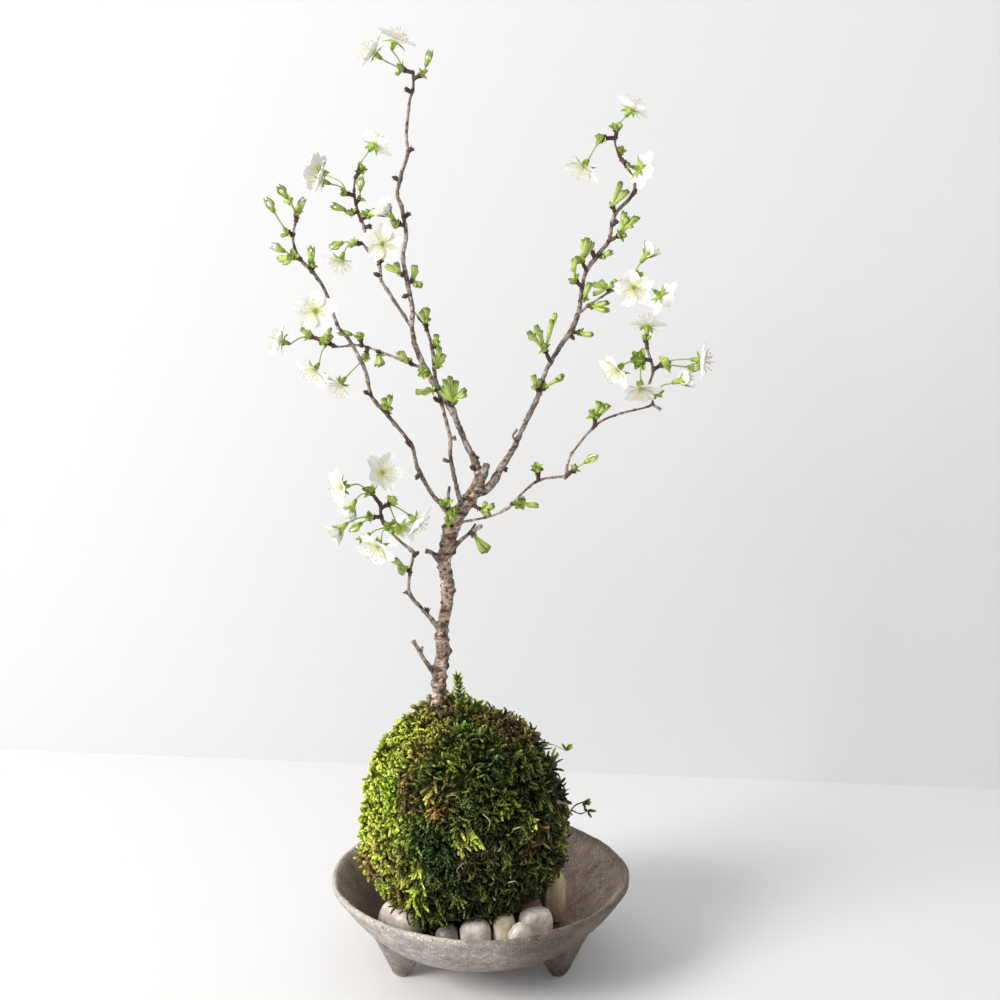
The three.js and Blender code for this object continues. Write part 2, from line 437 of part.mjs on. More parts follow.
// Swellings of a shoot: [radius, share of the way from where the form starts to the tip]
const BUD_LENGTH = 7.6;
const BUD_SWELL = [[0.7, 0.1], [1.9, 0.66]];
const LEAF_SWELL = [[0.5, 0.3], [1.45, 0.62]];
const LEAF_WIDTH = 2.8;
const STALK_RADIUS = 0.48;
const SCALE_RADII = [1.3, 1];
const SCALE_THICKNESS = 2.7;
const CROWN_FOOT = 1.3;
const BRACT_RISE = 0.55;

// Five petals from one thin plate, lifted and cupped alike on both faces. The lowest part of its
// back is where it starts.
function petals(from, direction) {
  const outline = [];
  for (let i = 0; i < 5; i += 1) {
    const turn = new THREE.Vector2(0, 0);
    const angle = (i * 2 * Math.PI) / 5;
    PETAL_OUTLINE.forEach(([x, y]) => outline.push(new THREE.Vector2(x, y).rotateAround(turn, angle)));
  }
  const lowest = Math.hypot(...PETAL_OUTLINE[0]) * Math.sin(PETAL_LIFT);
  const plate = new THREE.ExtrudeGeometry(new THREE.Shape(outline), { depth: BLADE, bevelEnabled: false });
  reshape(plate, (point) => {
    const reach = Math.hypot(point.x, point.y);
    const angle = Math.atan2(point.y, point.x);
    const off = reach * Math.sin(((angle * 5 + 31.5 * Math.PI) % (2 * Math.PI) - Math.PI) / 5);
    const spread = (reach * Math.cos(PETAL_LIFT) - point.z * Math.sin(PETAL_LIFT)) / reach;
    const rise = reach * Math.sin(PETAL_LIFT) + point.z * Math.cos(PETAL_LIFT) + PETAL_CUP * off * off;
    point.set(point.x * spread, point.y * spread, rise - lowest);
  });
  return placed(plate, from, direction);
}

// One shoot of a spur: a leaf or a closed bud that ends at a tip, or a bloom that faces a way. It
// starts with a base of [point, radius] pairs and passes the points given.
function shoot(base, [kind, target, ...via]) {
  const run = [...base, ...via.map((reading) => [at(reading), STALK_RADIUS])];
  const end = run[run.length - 1][0];
  const made = (sides) => solid(limb(run.map(([point]) => point), run.map(([, radius]) => radius), sides));
  const swell = (start, tip, swells) => {
    swells.forEach(([radius, share]) => run.push([start.clone().lerp(tip, share), radius]));
    run.push([tip, 0]);
  };
  if (kind === 'leaf' && via.length === 0) {
    return { parts: [blade(end, at(target), LEAF_WIDTH, LEAF_WIDTH)], blooms: [] };
  }
  if (kind === 'leaf') {
    swell(end, at(target), LEAF_SWELL);
    return { parts: [made(3)], blooms: [] };
  }
  if (kind === 'bud') {
    const tip = at(target);
    swell(tip.clone().add(end.clone().sub(tip).setLength(BUD_LENGTH)), tip, BUD_SWELL);
    return { parts: [made(4)], blooms: [] };
  }
  const direction = new THREE.Vector3(...target).normalize();
  run.push([end.clone().addScaledVector(direction, CALYX_TUBE.length), CALYX_TUBE.radius]);
  if (kind === 'half') {
    const petals = placed(starForm(HALF_OPEN, 2, HALF_OPEN_VALLEY, 5), end, direction);
    return { parts: [made(3), petals], blooms: [] };
  }
  const sepals = placed(starForm(SEPALS, 1, SEPAL_VALLEY, 5), end, direction);
  const seat = end.clone().addScaledVector(direction, CALYX_LENGTH + GAP);
  return { parts: [made(3), sepals], blooms: [petals(seat, direction)] };
}

// A spur: brown scales on the twig, then a crown of bracts with its shoots. On a spray the crown
// is a piece of its own, a gap above the scales. On the tree the first shoot grows from the wood.
function spur([root, crown, bracts, ...shoots], isSpray) {
  const top = at(crown);
  const from = inWood(at(root));
  const axis = top.clone().sub(from).normalize();
  const [count, length] = bracts;
  const scales = [];
  if (isSpray || shoots.length === 0) {
    const scalesEnd = top.clone().addScaledVector(axis, isSpray ? -CROWN_FOOT - GAP : 0.5);
    scales.push(blade(from, scalesEnd, SCALE_THICKNESS, SCALE_THICKNESS));
  }
  const green = [];
  if (count > 0) {
    const rim = [length * Math.cos(BRACT_RISE), length * Math.sin(BRACT_RISE)];
    const star = starForm([[0, -CROWN_FOOT], rim, [0, 1]], 1, [0.4 * length, 0.4], count);
    green.push(placed(star, top, axis));
  }
  const blooms = [];
  shoots.forEach((entry, i) => {
    const isBlade = entry[0] === 'leaf' && entry.length === 2;
    const [low, high] = i === 0 ? SCALE_RADII : [STALK_RADIUS, STALK_RADIUS];
    const foot = isSpray ? [[top, STALK_RADIUS]] : [[from, low], [top, high]];
    const grown = shoot(isBlade ? foot.slice(0, 1) : foot, entry);
    green.push(...grown.parts);
    blooms.push(...grown.blooms);
  });
  return { scales, green, blooms };
}

// Pebbles: [colour, x, y, length, width, height, turn in degrees, lean in degrees]
const PEBBLES = [
  ['pink', -41.5, -30, 27, 15, 20, -42, 8], ['grey', -16.8, -43, 12.6, 14, 17, 10, 0],
  ['white', -2, -42.5, 17, 14, 23, 5, 0], ['cream', 12.6, -39, 12.6, 14, 25.4, 0, 0],
  ['white', 28.6, -37, 18, 13, 24, 30, 0], ['white', 21, -50, 13, 10, 20, 15, 0],
  ['cream', 40, -3, 14, 13, 31, 75, -6], ['brown', 25.4, -21.4, 18, 12, 26, 25, 0],
  ['white', 36, 26, 18, 13, 14, 130, 0], ['pink', 6, 44, 20, 14, 14, 10, 0],
  ['grey', -28, 41, 17, 14, 15, -30, 0],
];
const PEBBLE_DETAIL = 1;
const PEBBLE_ROUGHNESS = 0.1;
const PEBBLE_BOXINESS = 2.9;

// Height of a profile at a distance from the dish's axis.
function heightOf(profile, radius) {
  const after = Math.max(profile.findIndex(([r]) => r >= radius), 1);
  const [[r0, z0], [r1, z1]] = [profile[after - 1], profile[after]];
  return z0 + ((z1 - z0) * (radius - r0)) / (r1 - r0);
}
const insideHeight = (radius) => heightOf(DISH_INSIDE.toReversed(), radius);
const outsideHeight = (radius) => heightOf(DISH_OUTSIDE, radius);

// A foot that spreads from a small sole and runs out along the underside of the bowl.
function foot(angle) {
  const form = turned(FOOT_PROFILE, FOOT_SIDES);
  const top = FOOT_PROFILE.at(-1)[1];
  const out = new THREE.Vector3(Math.cos(angle), Math.sin(angle), 0);
  return solid(reshape(form, (point) => {
    const share = point.z / top;
    const reach = FOOT_CIRCLE + FOOT_SPLAY * share;
    point.addScaledVector(out, reach);
    point.z += share * (outsideHeight(Math.hypot(point.x, point.y)) - outsideHeight(reach));
  }));
}

// The thrown dish on three tapered feet, its rim a little pinched and lower at two sides.
function makeDish() {
  const bowl = turned([...DISH_OUTSIDE, ...DISH_INSIDE], DISH_SIDES);
  reshape(bowl, (point) => {
    const angle = Math.atan2(point.y, point.x);
    const share = (Math.hypot(point.x, point.y) / DISH_RADIUS) ** 4;
    const pinch = 1 - RIM_PINCH * share * Math.sin(2 * angle) ** 2;
    point.set(point.x * pinch, point.y * pinch, point.z - RIM_DIP * share * Math.cos(angle) ** 2);
  });
  const feet = FOOT_ANGLES.map((degrees) => foot((degrees * Math.PI) / 180));
  const above = DISH_HEIGHT + 5;
  const hollow = solid(turned([...DISH_INSIDE.toReversed(), [DISH_RADIUS, above], [0, above]], DISH_SIDES));
  return joined([solid(bowl), ...feet.map((form) => form.subtract(hollow))]);
}

// A rolled stone, a little boxy and uneven all round.
function pebbleGeometry(size, random) {
  const stone = mergedBare(new THREE.IcosahedronGeometry(1, PEBBLE_DETAIL));
  return reshape(stone, (point) => {
    const sum = point.toArray().reduce((total, part) => total + Math.abs(part) ** PEBBLE_BOXINESS, 0);
    const reach = 0.5 * sum ** (-1 / PEBBLE_BOXINESS) * (1 - PEBBLE_ROUGHNESS * random());
    point.multiplyScalar(reach).multiply(size);
  });
}

// Pebbles that lie in the dish: each comes down until it rests a gap above the bowl.
function makePebbles(random) {
  return PEBBLES.map(([colour, x, y, length, width, height, turn, lean], i) => {
    const mesh = new THREE.Mesh(pebbleGeometry(new THREE.Vector3(length, width, height), random));
    mesh.name = `pebble_${String(i + 1).padStart(2, '0')}`;
    mesh.material = finish(PEBBLE_COLOURS[colour], 0.45);
    mesh.rotation.set(0, (lean * Math.PI) / 180, (turn * Math.PI) / 180, 'ZYX');
    mesh.position.set(x, y, 0);
    mesh.updateMatrix();
    let room = Infinity;
    reshape(mesh.geometry.clone().applyMatrix4(mesh.matrix), (point) => {
      room = Math.min(room, point.z - insideHeight(Math.hypot(point.x, point.y)));
    });
    mesh.position.z = GAP - room;
    mesh.updateMatrix();
    return mesh;
  });
}

function pebbleRoom(mesh) {
  const grown = mesh.geometry.clone();
  grown.computeBoundingBox();
  const size = grown.boundingBox.getSize(new THREE.Vector3());
  grown.scale(...size.toArray().map((side) => 1 + (2 * GAP) / side));
  return solid(grown.applyMatrix4(mesh.matrix));
}

// The hole that the trunk stands in, a gap wider and deeper than the trunk.
function trunkHole() {
  const points = TRUNK_FOOT.map(at);
  const down = points[0].clone().sub(points[1]).setLength(GAP);
  points[0].add(down);
  return solid(limb(points, TRUNK_FOOT.map((reading) => reading[3] + 1.2 * GAP), TRUNK_SIDES));
}

function soilGeometry(radius) {
  return new THREE.IcosahedronGeometry(radius, SOIL_DETAIL).translate(...BALL_CENTRE.toArray());
}

// The ball's distance from its centre in a direction, a little boxy and flatter below.
function ballReach(direction) {
  const tall = direction.z > 0 ? BALL_SIZE.up : BALL_SIZE.down;
  const parts = [direction.x / BALL_SIZE.side, direction.y / BALL_SIZE.side, direction.z / tall];
  const sum = parts.reduce((total, part) => total + Math.abs(part) ** BALL_BOXINESS, 0);
  return BULGES.reduce((reach, [way, rise]) => {
    const gap = direction.distanceTo(new THREE.Vector3(...way));
    return reach + rise * Math.exp(-gap * gap / BULGE_SPREAD);
  }, sum ** (-1 / BALL_BOXINESS));
}

// Moss all round the soil, with its tufts raised from the surface and drooping. It is open where
// the trunk comes out, and pressed in by the pebbles.
function makeMoss(random, cuts) {
  const skin = mergedBare(new THREE.IcosahedronGeometry(1, BALL_DETAIL));
  reshape(skin, (point) => {
    const tuft = random() < TUFT_SHARE ? TUFT_HEIGHT * (0.55 + 0.45 * random()) : 0;
    const side = Math.hypot(point.x, point.y);
    point.multiplyScalar(ballReach(point) + tuft * (point.z > -0.6 ? 1 : 0.3));
    point.z -= tuft * TUFT_DROOP * side;
    point.add(BALL_CENTRE);
    point.z = Math.max(point.z, BALL_FLOOR);
  });
  const stem = branch(SPRIG, 4);
  const [middle, , back] = SPRIG[1];
  const leaves = SPRIG_LEAVES.map(([x, z]) => blade(at([middle, z - 3, back]), at([x, z, back]), 1.6, 0.9));
  const hollow = solid(soilGeometry(SOIL_RADIUS + 1.2 * GAP));
  const moss = joined([solid(skin), stem, ...leaves]).subtract(hollow);
  return cuts.reduce((left, cut) => left.subtract(cut), moss);
}

// Everything that grows: the wood with its leafy spurs, the sprays, and the blooms on them.
function makeTree() {
  const wood = [branch(TRUNK, TRUNK_SIDES)];
  BRANCHES.forEach((readings) => wood.push(branch(readings, readings[0][3] > THICK_BRANCH ? 5 : 4)));
  STUBS.forEach((readings) => wood.push(branch(readings, 4)));
  for (const [from, tip] of BUDS) {
    wood.push(blade(inWood(at(from)), at(tip), 2 * BUD_RADIUS, 2 * BUD_RADIUS, STEADY, 0.5));
  }
  for (const [x, z, back, radius] of BURLS) {
    const burl = new THREE.OctahedronGeometry(radius).scale(1.15, 1.15, 1.4);
    wood.push(placed(burl, at([x, z, back]), new THREE.Vector3(0, 0, 1)));
  }
  const pieces = [];
  const bloomNames = [];
  const addBloom = (bloom) => {
    bloomNames.push(`bloom_${String(bloomNames.length + 1).padStart(2, '0')}`);
    pieces.push([bloomNames[bloomNames.length - 1], bloom, PETAL]);
  };
  SPRAYS.forEach((entry, i) => {
    const { scales, green, blooms } = spur(entry, true);
    wood.push(...scales);
    pieces.push([`spray_${String(i + 1).padStart(2, '0')}`, joined(green), LEAF]);
    blooms.forEach(addBloom);
  });
  SPURS.forEach((entry) => {
    const { scales, green, blooms } = spur(entry, false);
    wood.push(...scales, ...green);
    blooms.forEach(addBloom);
  });
  return [['tree', joined(wood), BARK], ...pieces];
}

const plant = new THREE.Group();
const random = dice(SEED);
const pebbles = makePebbles(random);
const hole = trunkHole();
const parts = [
  ['dish', makeDish(), STONEWARE],
  ['soil_ball', solid(soilGeometry(SOIL_RADIUS)).subtract(hole), SOIL],
  ['moss_ball', makeMoss(random, [hole, ...pebbles.map(pebbleRoom)]), MOSS],
  ...makeTree(),
];
for (const [name, piece, material] of parts) {
  const mesh = new THREE.Mesh(geometryOf(piece), material);
  mesh.name = name;
  plant.add(mesh);
}
plant.add(...pebbles);

// Stand the whole so that the origin is under the middle of its box.
const middle = new THREE.Box3().setFromObject(plant).getCenter(new THREE.Vector3());
plant.position.set(-middle.x, -middle.y, 0);

export default plant;
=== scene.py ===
"""A kokedama: a small white-flowering cherry tree that grows from a ball of moss, in a footed
stoneware dish with pebbles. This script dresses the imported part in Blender.

Readings and sizes are millimetres, with the dish's axis at x = 0, y = 0 and the table at z = 0,
the viewer on the -Y side. A piece is put in metres, and where the frame has it, as it is made.
"""
import math

import bpy
import numpy as np
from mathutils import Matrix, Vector


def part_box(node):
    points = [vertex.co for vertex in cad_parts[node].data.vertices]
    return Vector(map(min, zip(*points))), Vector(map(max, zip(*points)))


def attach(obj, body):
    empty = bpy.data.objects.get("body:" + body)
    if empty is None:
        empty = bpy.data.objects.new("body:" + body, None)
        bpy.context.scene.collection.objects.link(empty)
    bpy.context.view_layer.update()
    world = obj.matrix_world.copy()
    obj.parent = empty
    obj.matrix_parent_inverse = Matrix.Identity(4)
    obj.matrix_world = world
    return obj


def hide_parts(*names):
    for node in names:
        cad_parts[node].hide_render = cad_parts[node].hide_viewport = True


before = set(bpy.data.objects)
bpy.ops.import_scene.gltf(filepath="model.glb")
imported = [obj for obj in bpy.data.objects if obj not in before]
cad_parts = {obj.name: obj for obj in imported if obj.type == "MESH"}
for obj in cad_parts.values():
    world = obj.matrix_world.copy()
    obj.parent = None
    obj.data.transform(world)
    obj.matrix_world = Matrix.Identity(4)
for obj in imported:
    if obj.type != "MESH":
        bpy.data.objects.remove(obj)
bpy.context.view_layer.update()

MM = 0.001
SEED = 20111
BED_SEED, TUFT_SEED, STEM_SEED = SEED + 1, SEED + 7, SEED + 8
SPUR_SEED, BUD_SEED, SPRAY_SEED = SEED + 200, SEED + 300, SEED + 400
TAU = 2 * math.pi
dish_low, dish_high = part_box("dish")
DISH_AXIS = np.array([(dish_low.x + dish_high.x) / 2, (dish_low.y + dish_high.y) / 2, 0])

# The eye that the places on the tree are sighted from: a reading [x, z, back] is a point of the
# upright plane y = 0, set back by about that much along its line of sight. The crown spreads
# faster the further it is from that plane.
EYE = np.array([10.5, -750, 411])
SPREAD = 0.03
EYE_PITCH = 11.9
LENS, SENSOR = 54, 36

# The tree's wood: readings of [x, z, back, radius].
TRUNK_FOOT = [[-13, 90, 0, 4.4], [-17.5, 118, 0, 4.6], [-21, 136, 0, 4.5], [-21.3, 150, 0, 3.9]]
TRUNK = [
  *TRUNK_FOOT, [-21.2, 160, 0, 3.7], [-19.6, 170, 0, 3.6], [-19.7, 180, -1, 3.3], [-18.6, 190, -1, 2.9],
  [-16.9, 200, -1, 3.1], [-16.5, 206, 0, 3.4], [-16.8, 211, 0, 3.3], [-18.3, 220, 1, 3.5],
  [-16.2, 230, 1, 3.9], [-13.8, 240, 1, 4.1], [-10, 247, 0, 3.9], [-5.5, 253, 0, 3.6],
  [-2.3, 258, 0, 3.4], [0, 263, 0, 3], [-0.6, 268.5, 1, 2.3],
]
BRANCHES = [
  # The leader
  [[-0.4, 267, 1, 2.3], [-3, 275, 2, 1.9], [-5.7, 280, 3, 1.6], [-10.1, 290, 4, 1.5], [-12, 295, 4, 1.5],
    [-13.8, 299.5, 4, 2], [-17.6, 305.5, 3, 1.8], [-20.8, 310, 2, 1.7], [-26.5, 319.5, 1, 1.5],
    [-31.3, 330, -1, 1.4], [-33.3, 340, -2, 1.2], [-33.2, 351, -3, 1.15], [-35.6, 364, -4, 1.15],
    [-37.4, 376, -4, 1.1], [-35.7, 387, -4, 1], [-37.8, 400, -3, 1], [-39.8, 406, -3, 1],
    [-37.6, 416, -2, 0.9], [-34.6, 425, -1, 0.85], [-35, 435, 0, 0.8], [-33.2, 450, 1, 0.65],
    [-31.4, 457, 1, 0.6], [-31.3, 464, 1, 0.6]],
  # The stem that passes behind the leader
  [[-8.5, 248, -2, 1.5], [-11.5, 259, -4, 1.15], [-14.6, 275, -2, 1.05], [-14.8, 285, 0, 1],
    [-17.3, 296, 3, 0.95], [-21, 311, 7, 0.95], [-22.6, 320, 7, 0.9], [-23.6, 331, 6, 0.85],
    [-26.2, 340, 6, 0.75], [-29.5, 345, 6, 0.5], [-34.5, 352, 6, 0.45]],
  # The left main branch
  [[-12.6, 242.4, 0, 1.9], [-20, 251, -5, 1.2], [-25.5, 258, -8, 1.1], [-31.5, 270, -12, 1],
    [-34.6, 281.5, -15, 1],
    [-45.4, 295.7, -18, 0.95], [-54, 306, -20, 0.9], [-57, 319, -22, 0.9], [-65, 335, -24, 0.85],
    [-70.1, 341, -25, 0.8], [-76.3, 359, -26, 0.8], [-82, 368, -27, 0.75], [-88.5, 375, -27, 0.7],
    [-91.6, 384.5, -28, 0.65], [-89.8, 393.5, -28, 0.55]],
  # The middle-left branch
  [[-33.6, 341, -2, 1], [-36.5, 345.5, 0, 0.9], [-44.5, 358, 8, 0.85], [-48.4, 364.5, 11, 0.8],
    [-49.4, 373, 14, 0.8], [-55.4, 380, 17, 0.8], [-56.3, 390, 19, 0.75], [-59.2, 397, 20, 0.7],
    [-61, 407, 21, 0.6], [-60, 415, 22, 0.55]],
  # The thin branch that crosses to the left behind the left main branch
  [[-27, 320.5, 1, 1], [-33, 322.3, 4, 0.8], [-50, 329, 10, 0.65], [-60, 332, 12, 0.6],
    [-72, 331.4, 12, 0.55],
    [-80, 335, 11, 0.5]],
  # The right main branch
  [[-2, 256, 0, 2.6], [6, 261, -1, 2.2], [11, 269.5, 1, 1.9], [17.5, 280, 5, 1.5], [22.5, 291, 8, 1.35],
    [29.7, 306.5, 11, 1.4], [33.5, 319, 13, 1.15], [41, 332, 16, 1.3], [46.5, 340, 18, 1.4],
    [49.6, 349, 20, 1.2], [51.5, 362, 22, 1.1], [53.3, 369, 22, 1.1], [61.5, 380, 21, 1.05],
    [64.3, 384, 21, 0.9], [66.8, 396, 19, 0.95], [74.8, 405, 17, 0.9], [76.3, 413, 16, 0.5],
    [70.5, 421, 14, 0.5], [68.6, 425, 14, 0.6], [66.5, 430, 14, 0.5], [66.8, 433.6, 14, 0.6]],
  # The side twig on its right
  [[49, 347.5, 20, 1.1], [54.3, 351.7, 16, 0.65], [62.8, 357.3, 8, 0.6], [64.8, 358.8, 6, 0.85],
    [68.8, 359.8, 3, 0.55], [76.6, 362.4, -4, 0.6]],
  # The lower right branch
  [[-13.5, 239, -1, 1.5], [-8, 241.5, -4, 0.8], [6.2, 244.6, -10, 0.55], [15.2, 249.3, -13, 0.8],
    [21.8, 256.5, -15, 0.6], [30.3, 263.2, -17, 0.6], [42, 265.2, -19, 0.55], [44, 264.8, -20, 0.85],
    [46.2, 275.5, -20, 0.65], [58.3, 291, -22, 0.6], [69.5, 297, -20, 0.5], [83, 300.5, -14, 0.5],
    [87.5, 303, -13, 0.55], [85, 310, -13, 0.55], [87.3, 319, -14, 0.65], [85.5, 326, -14, 0.7],
    [83.8, 331.5, -14, 0.9]],
  # The lower left twig
  [[-20.5, 184, -1, 2], [-24.6, 188.8, -3, 1.3], [-30.5, 196, -8, 1], [-35.8, 202.2, -12, 1],
    [-36.6, 210, -14, 0.75], [-34.4, 222.3, -16, 0.75], [-33.8, 225, -17, 1], [-42, 232.5, -17, 0.65],
    [-49.6, 241.8, -17, 0.8], [-50.7, 251.5, -17, 0.75]],
]
# Dead snags, cut stubs and short spurs without leaves
STUBS = [
  [[-22, 158, -2, 1.8], [-28.3, 166.5, -5, 1.1], [-33, 174.7, -7, 1], [-34.9, 178, -7, 1.4]],
  [[-30.8, 170, -6, 0.8], [-30, 174.8, -6, 0.7]],
  [[0.5, 262, -2, 2.3], [2.3, 267, -3, 2.3], [3.6, 271.5, -4, 1.7]],
  [[-15, 247, -4, 1], [-16, 253, -6, 0.8], [-15.3, 260, -6, 0.8]],
  [[-13, 228.8, 1, 1.4], [-5.5, 235.2, -3, 0.9], [1, 239.4, -6, 1.1]],
  [[-6, 234.6, -3, 0.7], [-2, 240.4, -1, 0.65]],
  [[-18.5, 219.5, 0, 2.4], [-24.2, 225, -3, 1.2], [-27.8, 226.2, -3, 1.3]],
  [[19, 282.5, 5, 0.6], [17, 286, 4, 0.5], [19.2, 289.6, 4, 0.9]],
  [[-14.6, 272.5, -2, 0.6], [-18.2, 274, -3, 1.3]],
  [[-14.8, 284.5, 0, 0.7], [-12, 285.2, 1, 1.5]],
  [[86.6, 302.6, -13, 0.7], [91.6, 299.6, -13, 0.9]],
  [[67, 433, 14, 0.5], [64.3, 432.8, 13, 0.6]],
]
# Brown buds, each from a point in the wood to its tip
BUDS = [
  [[-34.4, 426, -1], [-31.7, 428.4, -1]], [[-38.4, 412.5, -2], [-42.4, 414.6, -2]],
  [[-37, 394.5, -3.5], [-33.4, 397.4, -4]], [[-32.2, 454.2, 1], [-35.8, 456.4, 0]],
  [[-34.5, 357, -4], [-38.4, 355.8, -4]], [[-18.2, 303.4, 5], [-23.4, 305.8, 3]],
  [[-2, 273, 2], [-0.6, 276, 1]], [[-1.6, 268, 0], [-5, 270.6, -2]],
  [[-30.5, 267.5, -11], [-32.6, 263.4, -12]], [[-34.4, 280.5, -15], [-37.4, 284.4, -16]],
  [[-54.4, 307, -20.2], [-58.4, 309, -21]], [[-48.4, 366, 11.6], [-52.2, 368, 11]],
  [[-56.2, 390, 19], [-52.4, 391, 18]], [[66.4, 391, 20], [68.6, 393.6, 19]],
  [[75.2, 404.8, 17], [77.6, 408.6, 16]], [[44.6, 338, 18], [47.8, 334.6, 17]],
  [[57.6, 374.6, 21.6], [55.6, 379.4, 21]], [[-36, 203, -12], [-38.4, 205, -13]],
  [[-27.6, 193, -5], [-27, 196, -6]], [[-34, 224, -16], [-31.4, 225.8, -18]],
  [[11, 270, 1], [14.2, 268.4, -1]],
]
BUD_RADIUS = 1.05
# Burls on the bark: [x, z, back, radius]
BURLS = [
  [-16.9, 163.8, -1, 2], [-16.2, 173, 0, 1.9], [-13.8, 205, -1, 1.7], [-12.3, 226, 0, 2.3],
  [-18.8, 239, 0, 2.2], [-7, 245.6, -3, 2.2], [-2, 249.6, -2, 2.4], [2.4, 257, -2, 2.2],
  [-20, 147, -3.4, 1.8],
]

# Spurs: [root, crown, [bracts, their length], ...shoots]. A shoot is [kind, tip or direction, ...via].
# Sprays that carry blooms, each a piece of its own
SPRAYS = [
  [[-31.3, 463.4, 1], [-36, 464.8, 0], [5, 4.4],
    ["bloom", [0.4, -0.25, 0.88], [-38.6, 470, -1], [-41.6, 474, -2]],
    ["bloom", [-0.8, -0.1, 0.6], [-42, 467.5, 1], [-46.4, 469.8, 2]]],
  [[-36.2, 391, -4], [-39.6, 391.6, -6], [4, 4],
    ["half", [-0.6, -0.45, 0.65], [-41.5, 394, -7]],
    ["bud", [-47.6, 400.6, -4], [-42.5, 394.6, -5]]],
  [[-60, 414, 22], [-57.8, 417.4, 20], [5, 4.4],
    ["bloom", [0.62, 0.4, 0.67], [-57.4, 421, 19], [-53.6, 426.4, 18]]],
  [[-60.8, 405, 21], [-64.6, 406.6, 20], [4, 4],
    ["bloom", [-0.83, -0.1, 0.3], [-67.6, 409.6, 17], [-72.4, 411, 15]],
    ["bloom", [-0.8, 0.45, 0.3], [-67.6, 412, 23], [-75, 415.4, 25]]],
  [[-56, 382, 17.5], [-60.4, 382.4, 16], [4, 4],
    ["bloom", [-0.35, -0.35, -0.87], [-64.5, 381, 15], [-66.6, 378, 14]],
    ["bud", [-73.6, 380.2, 17], [-65.5, 383.2, 17]]],
  [[-73, 331.3, 12], [-76, 333.6, 9], [5, 4.6],
    ["bloom", [-0.5, -0.5, -0.7], [-78.8, 328.5, 5], [-80.2, 323, 2]],
    ["leaf", [-74.6, 341, 8]]],
  [[-79, 334.6, 11], [-83.6, 336.3, 12], [5, 4.6],
    ["bloom", [-0.9, -0.25, 0.36], [-89, 335.8, 11], [-94.4, 332.6, 10]],
    ["leaf", [-88.4, 341, 12]]],
  [[-56, 330.9, 11], [-56.4, 327.2, 8], [3, 4],
    ["bloom", [-0.62, -0.3, -0.73], [-60.5, 322.5, 6], [-67, 316, 4]]],
  [[-50.7, 250.6, -17], [-55, 256.6, -19], [6, 5],
    ["bloom", [0.5, -0.78, 0.38], [-52.2, 260.5, -20], [-51.4, 266, -21]],
    ["bloom", [-0.85, -0.5, -0.05], [-61.5, 261, -20], [-66, 260.4, -21]],
    ["half", [-0.5, -0.1, -0.86], [-60, 256, -17], [-63, 253.4, -14]]],
  [[-50.5, 248.6, -17], [-46.4, 251, -15], [5, 5.4],
    ["bloom", [0.25, 0.62, -0.74], [-44.6, 246, -12], [-42.4, 240.6, -10]],
    ["bloom", [0.75, -0.15, -0.64], [-41, 248.5, -15], [-36.4, 245.4, -16]]],
  [[-50, 244, -17], [-54.6, 244.2, -18], [4, 4.6],
    ["half", [-0.76, -0.2, -0.62], [-61.5, 243.6, -20], [-67.6, 241, -22]],
    ["bud", [-66.6, 236.6, -14], [-59.6, 241.4, -14]]],
  [[-49, 241, -17], [-45.8, 239.2, -20], [5, 4.6],
    ["bud", [-63, 231.2, -24], [-53, 237.2, -22.4]],
    ["bloom", [-0.35, -0.75, -0.56], [-49.6, 236.6, -24], [-50.6, 232, -25]]],
  [[69.4, 422.5, 14], [72.4, 420.4, 11], [2, 3], ["bloom", [0.85, 0.45, -0.2], [74.8, 419.2, 11]]],
  [[66.8, 433, 14], [67.2, 436.8, 12], [5, 4.4],
    ["bloom", [0.6, 0.15, 0.78], [68.9, 440.2, 12], [71.4, 442.8, 11]]],
  [[65, 432.8, 13.5], [60.8, 432.6, 11], [5, 4.4],
    ["bloom", [-0.5, -0.3, -0.8], [57, 428.6, 10], [53.6, 422.6, 9]]],
  [[76, 362.2, -4], [78.4, 365, -6], [4, 4.4],
    ["half", [0.6, 0, 0.8], [78, 369.4, -6], [80, 372.8, -6]],
    ["bloom", [-0.15, -0.93, -0.33], [77.4, 362.4, -12]],
    ["bloom", [0.75, 0.35, -0.56], [83, 362.3, -6], [86.8, 359.4, -6]]],
  [[84, 330.5, -14], [83.6, 334.6, -14], [2, 3.4], ["bloom", [0.1, 0.3, 0.95], [83.7, 336.8, -14]]],
  [[85.8, 324.6, -14], [81.8, 325, -18], [7, 6.4],
    ["bloom", [-0.68, -0.45, -0.58], [76, 323.9, -20], [72.4, 322.4, -21]],
    ["bloom", [0.05, -0.5, -0.86], [81, 318.5, -21], [81.3, 314.6, -22]]],
  [[87.2, 319.6, -14], [91.6, 322.4, -13], [6, 5.6],
    ["bloom", [0.97, -0.2, -0.1], [98, 324.7, -15], [106, 325, -16]],
    ["bud", [111, 320.4, -6], [98, 321.8, -9]]],
  [[85.2, 308.6, -13], [88.8, 308.2, -15], [4, 4],
    ["half", [0.88, -0.15, 0.3], [92, 311.6, -17], [96.8, 313, -19]]],
]
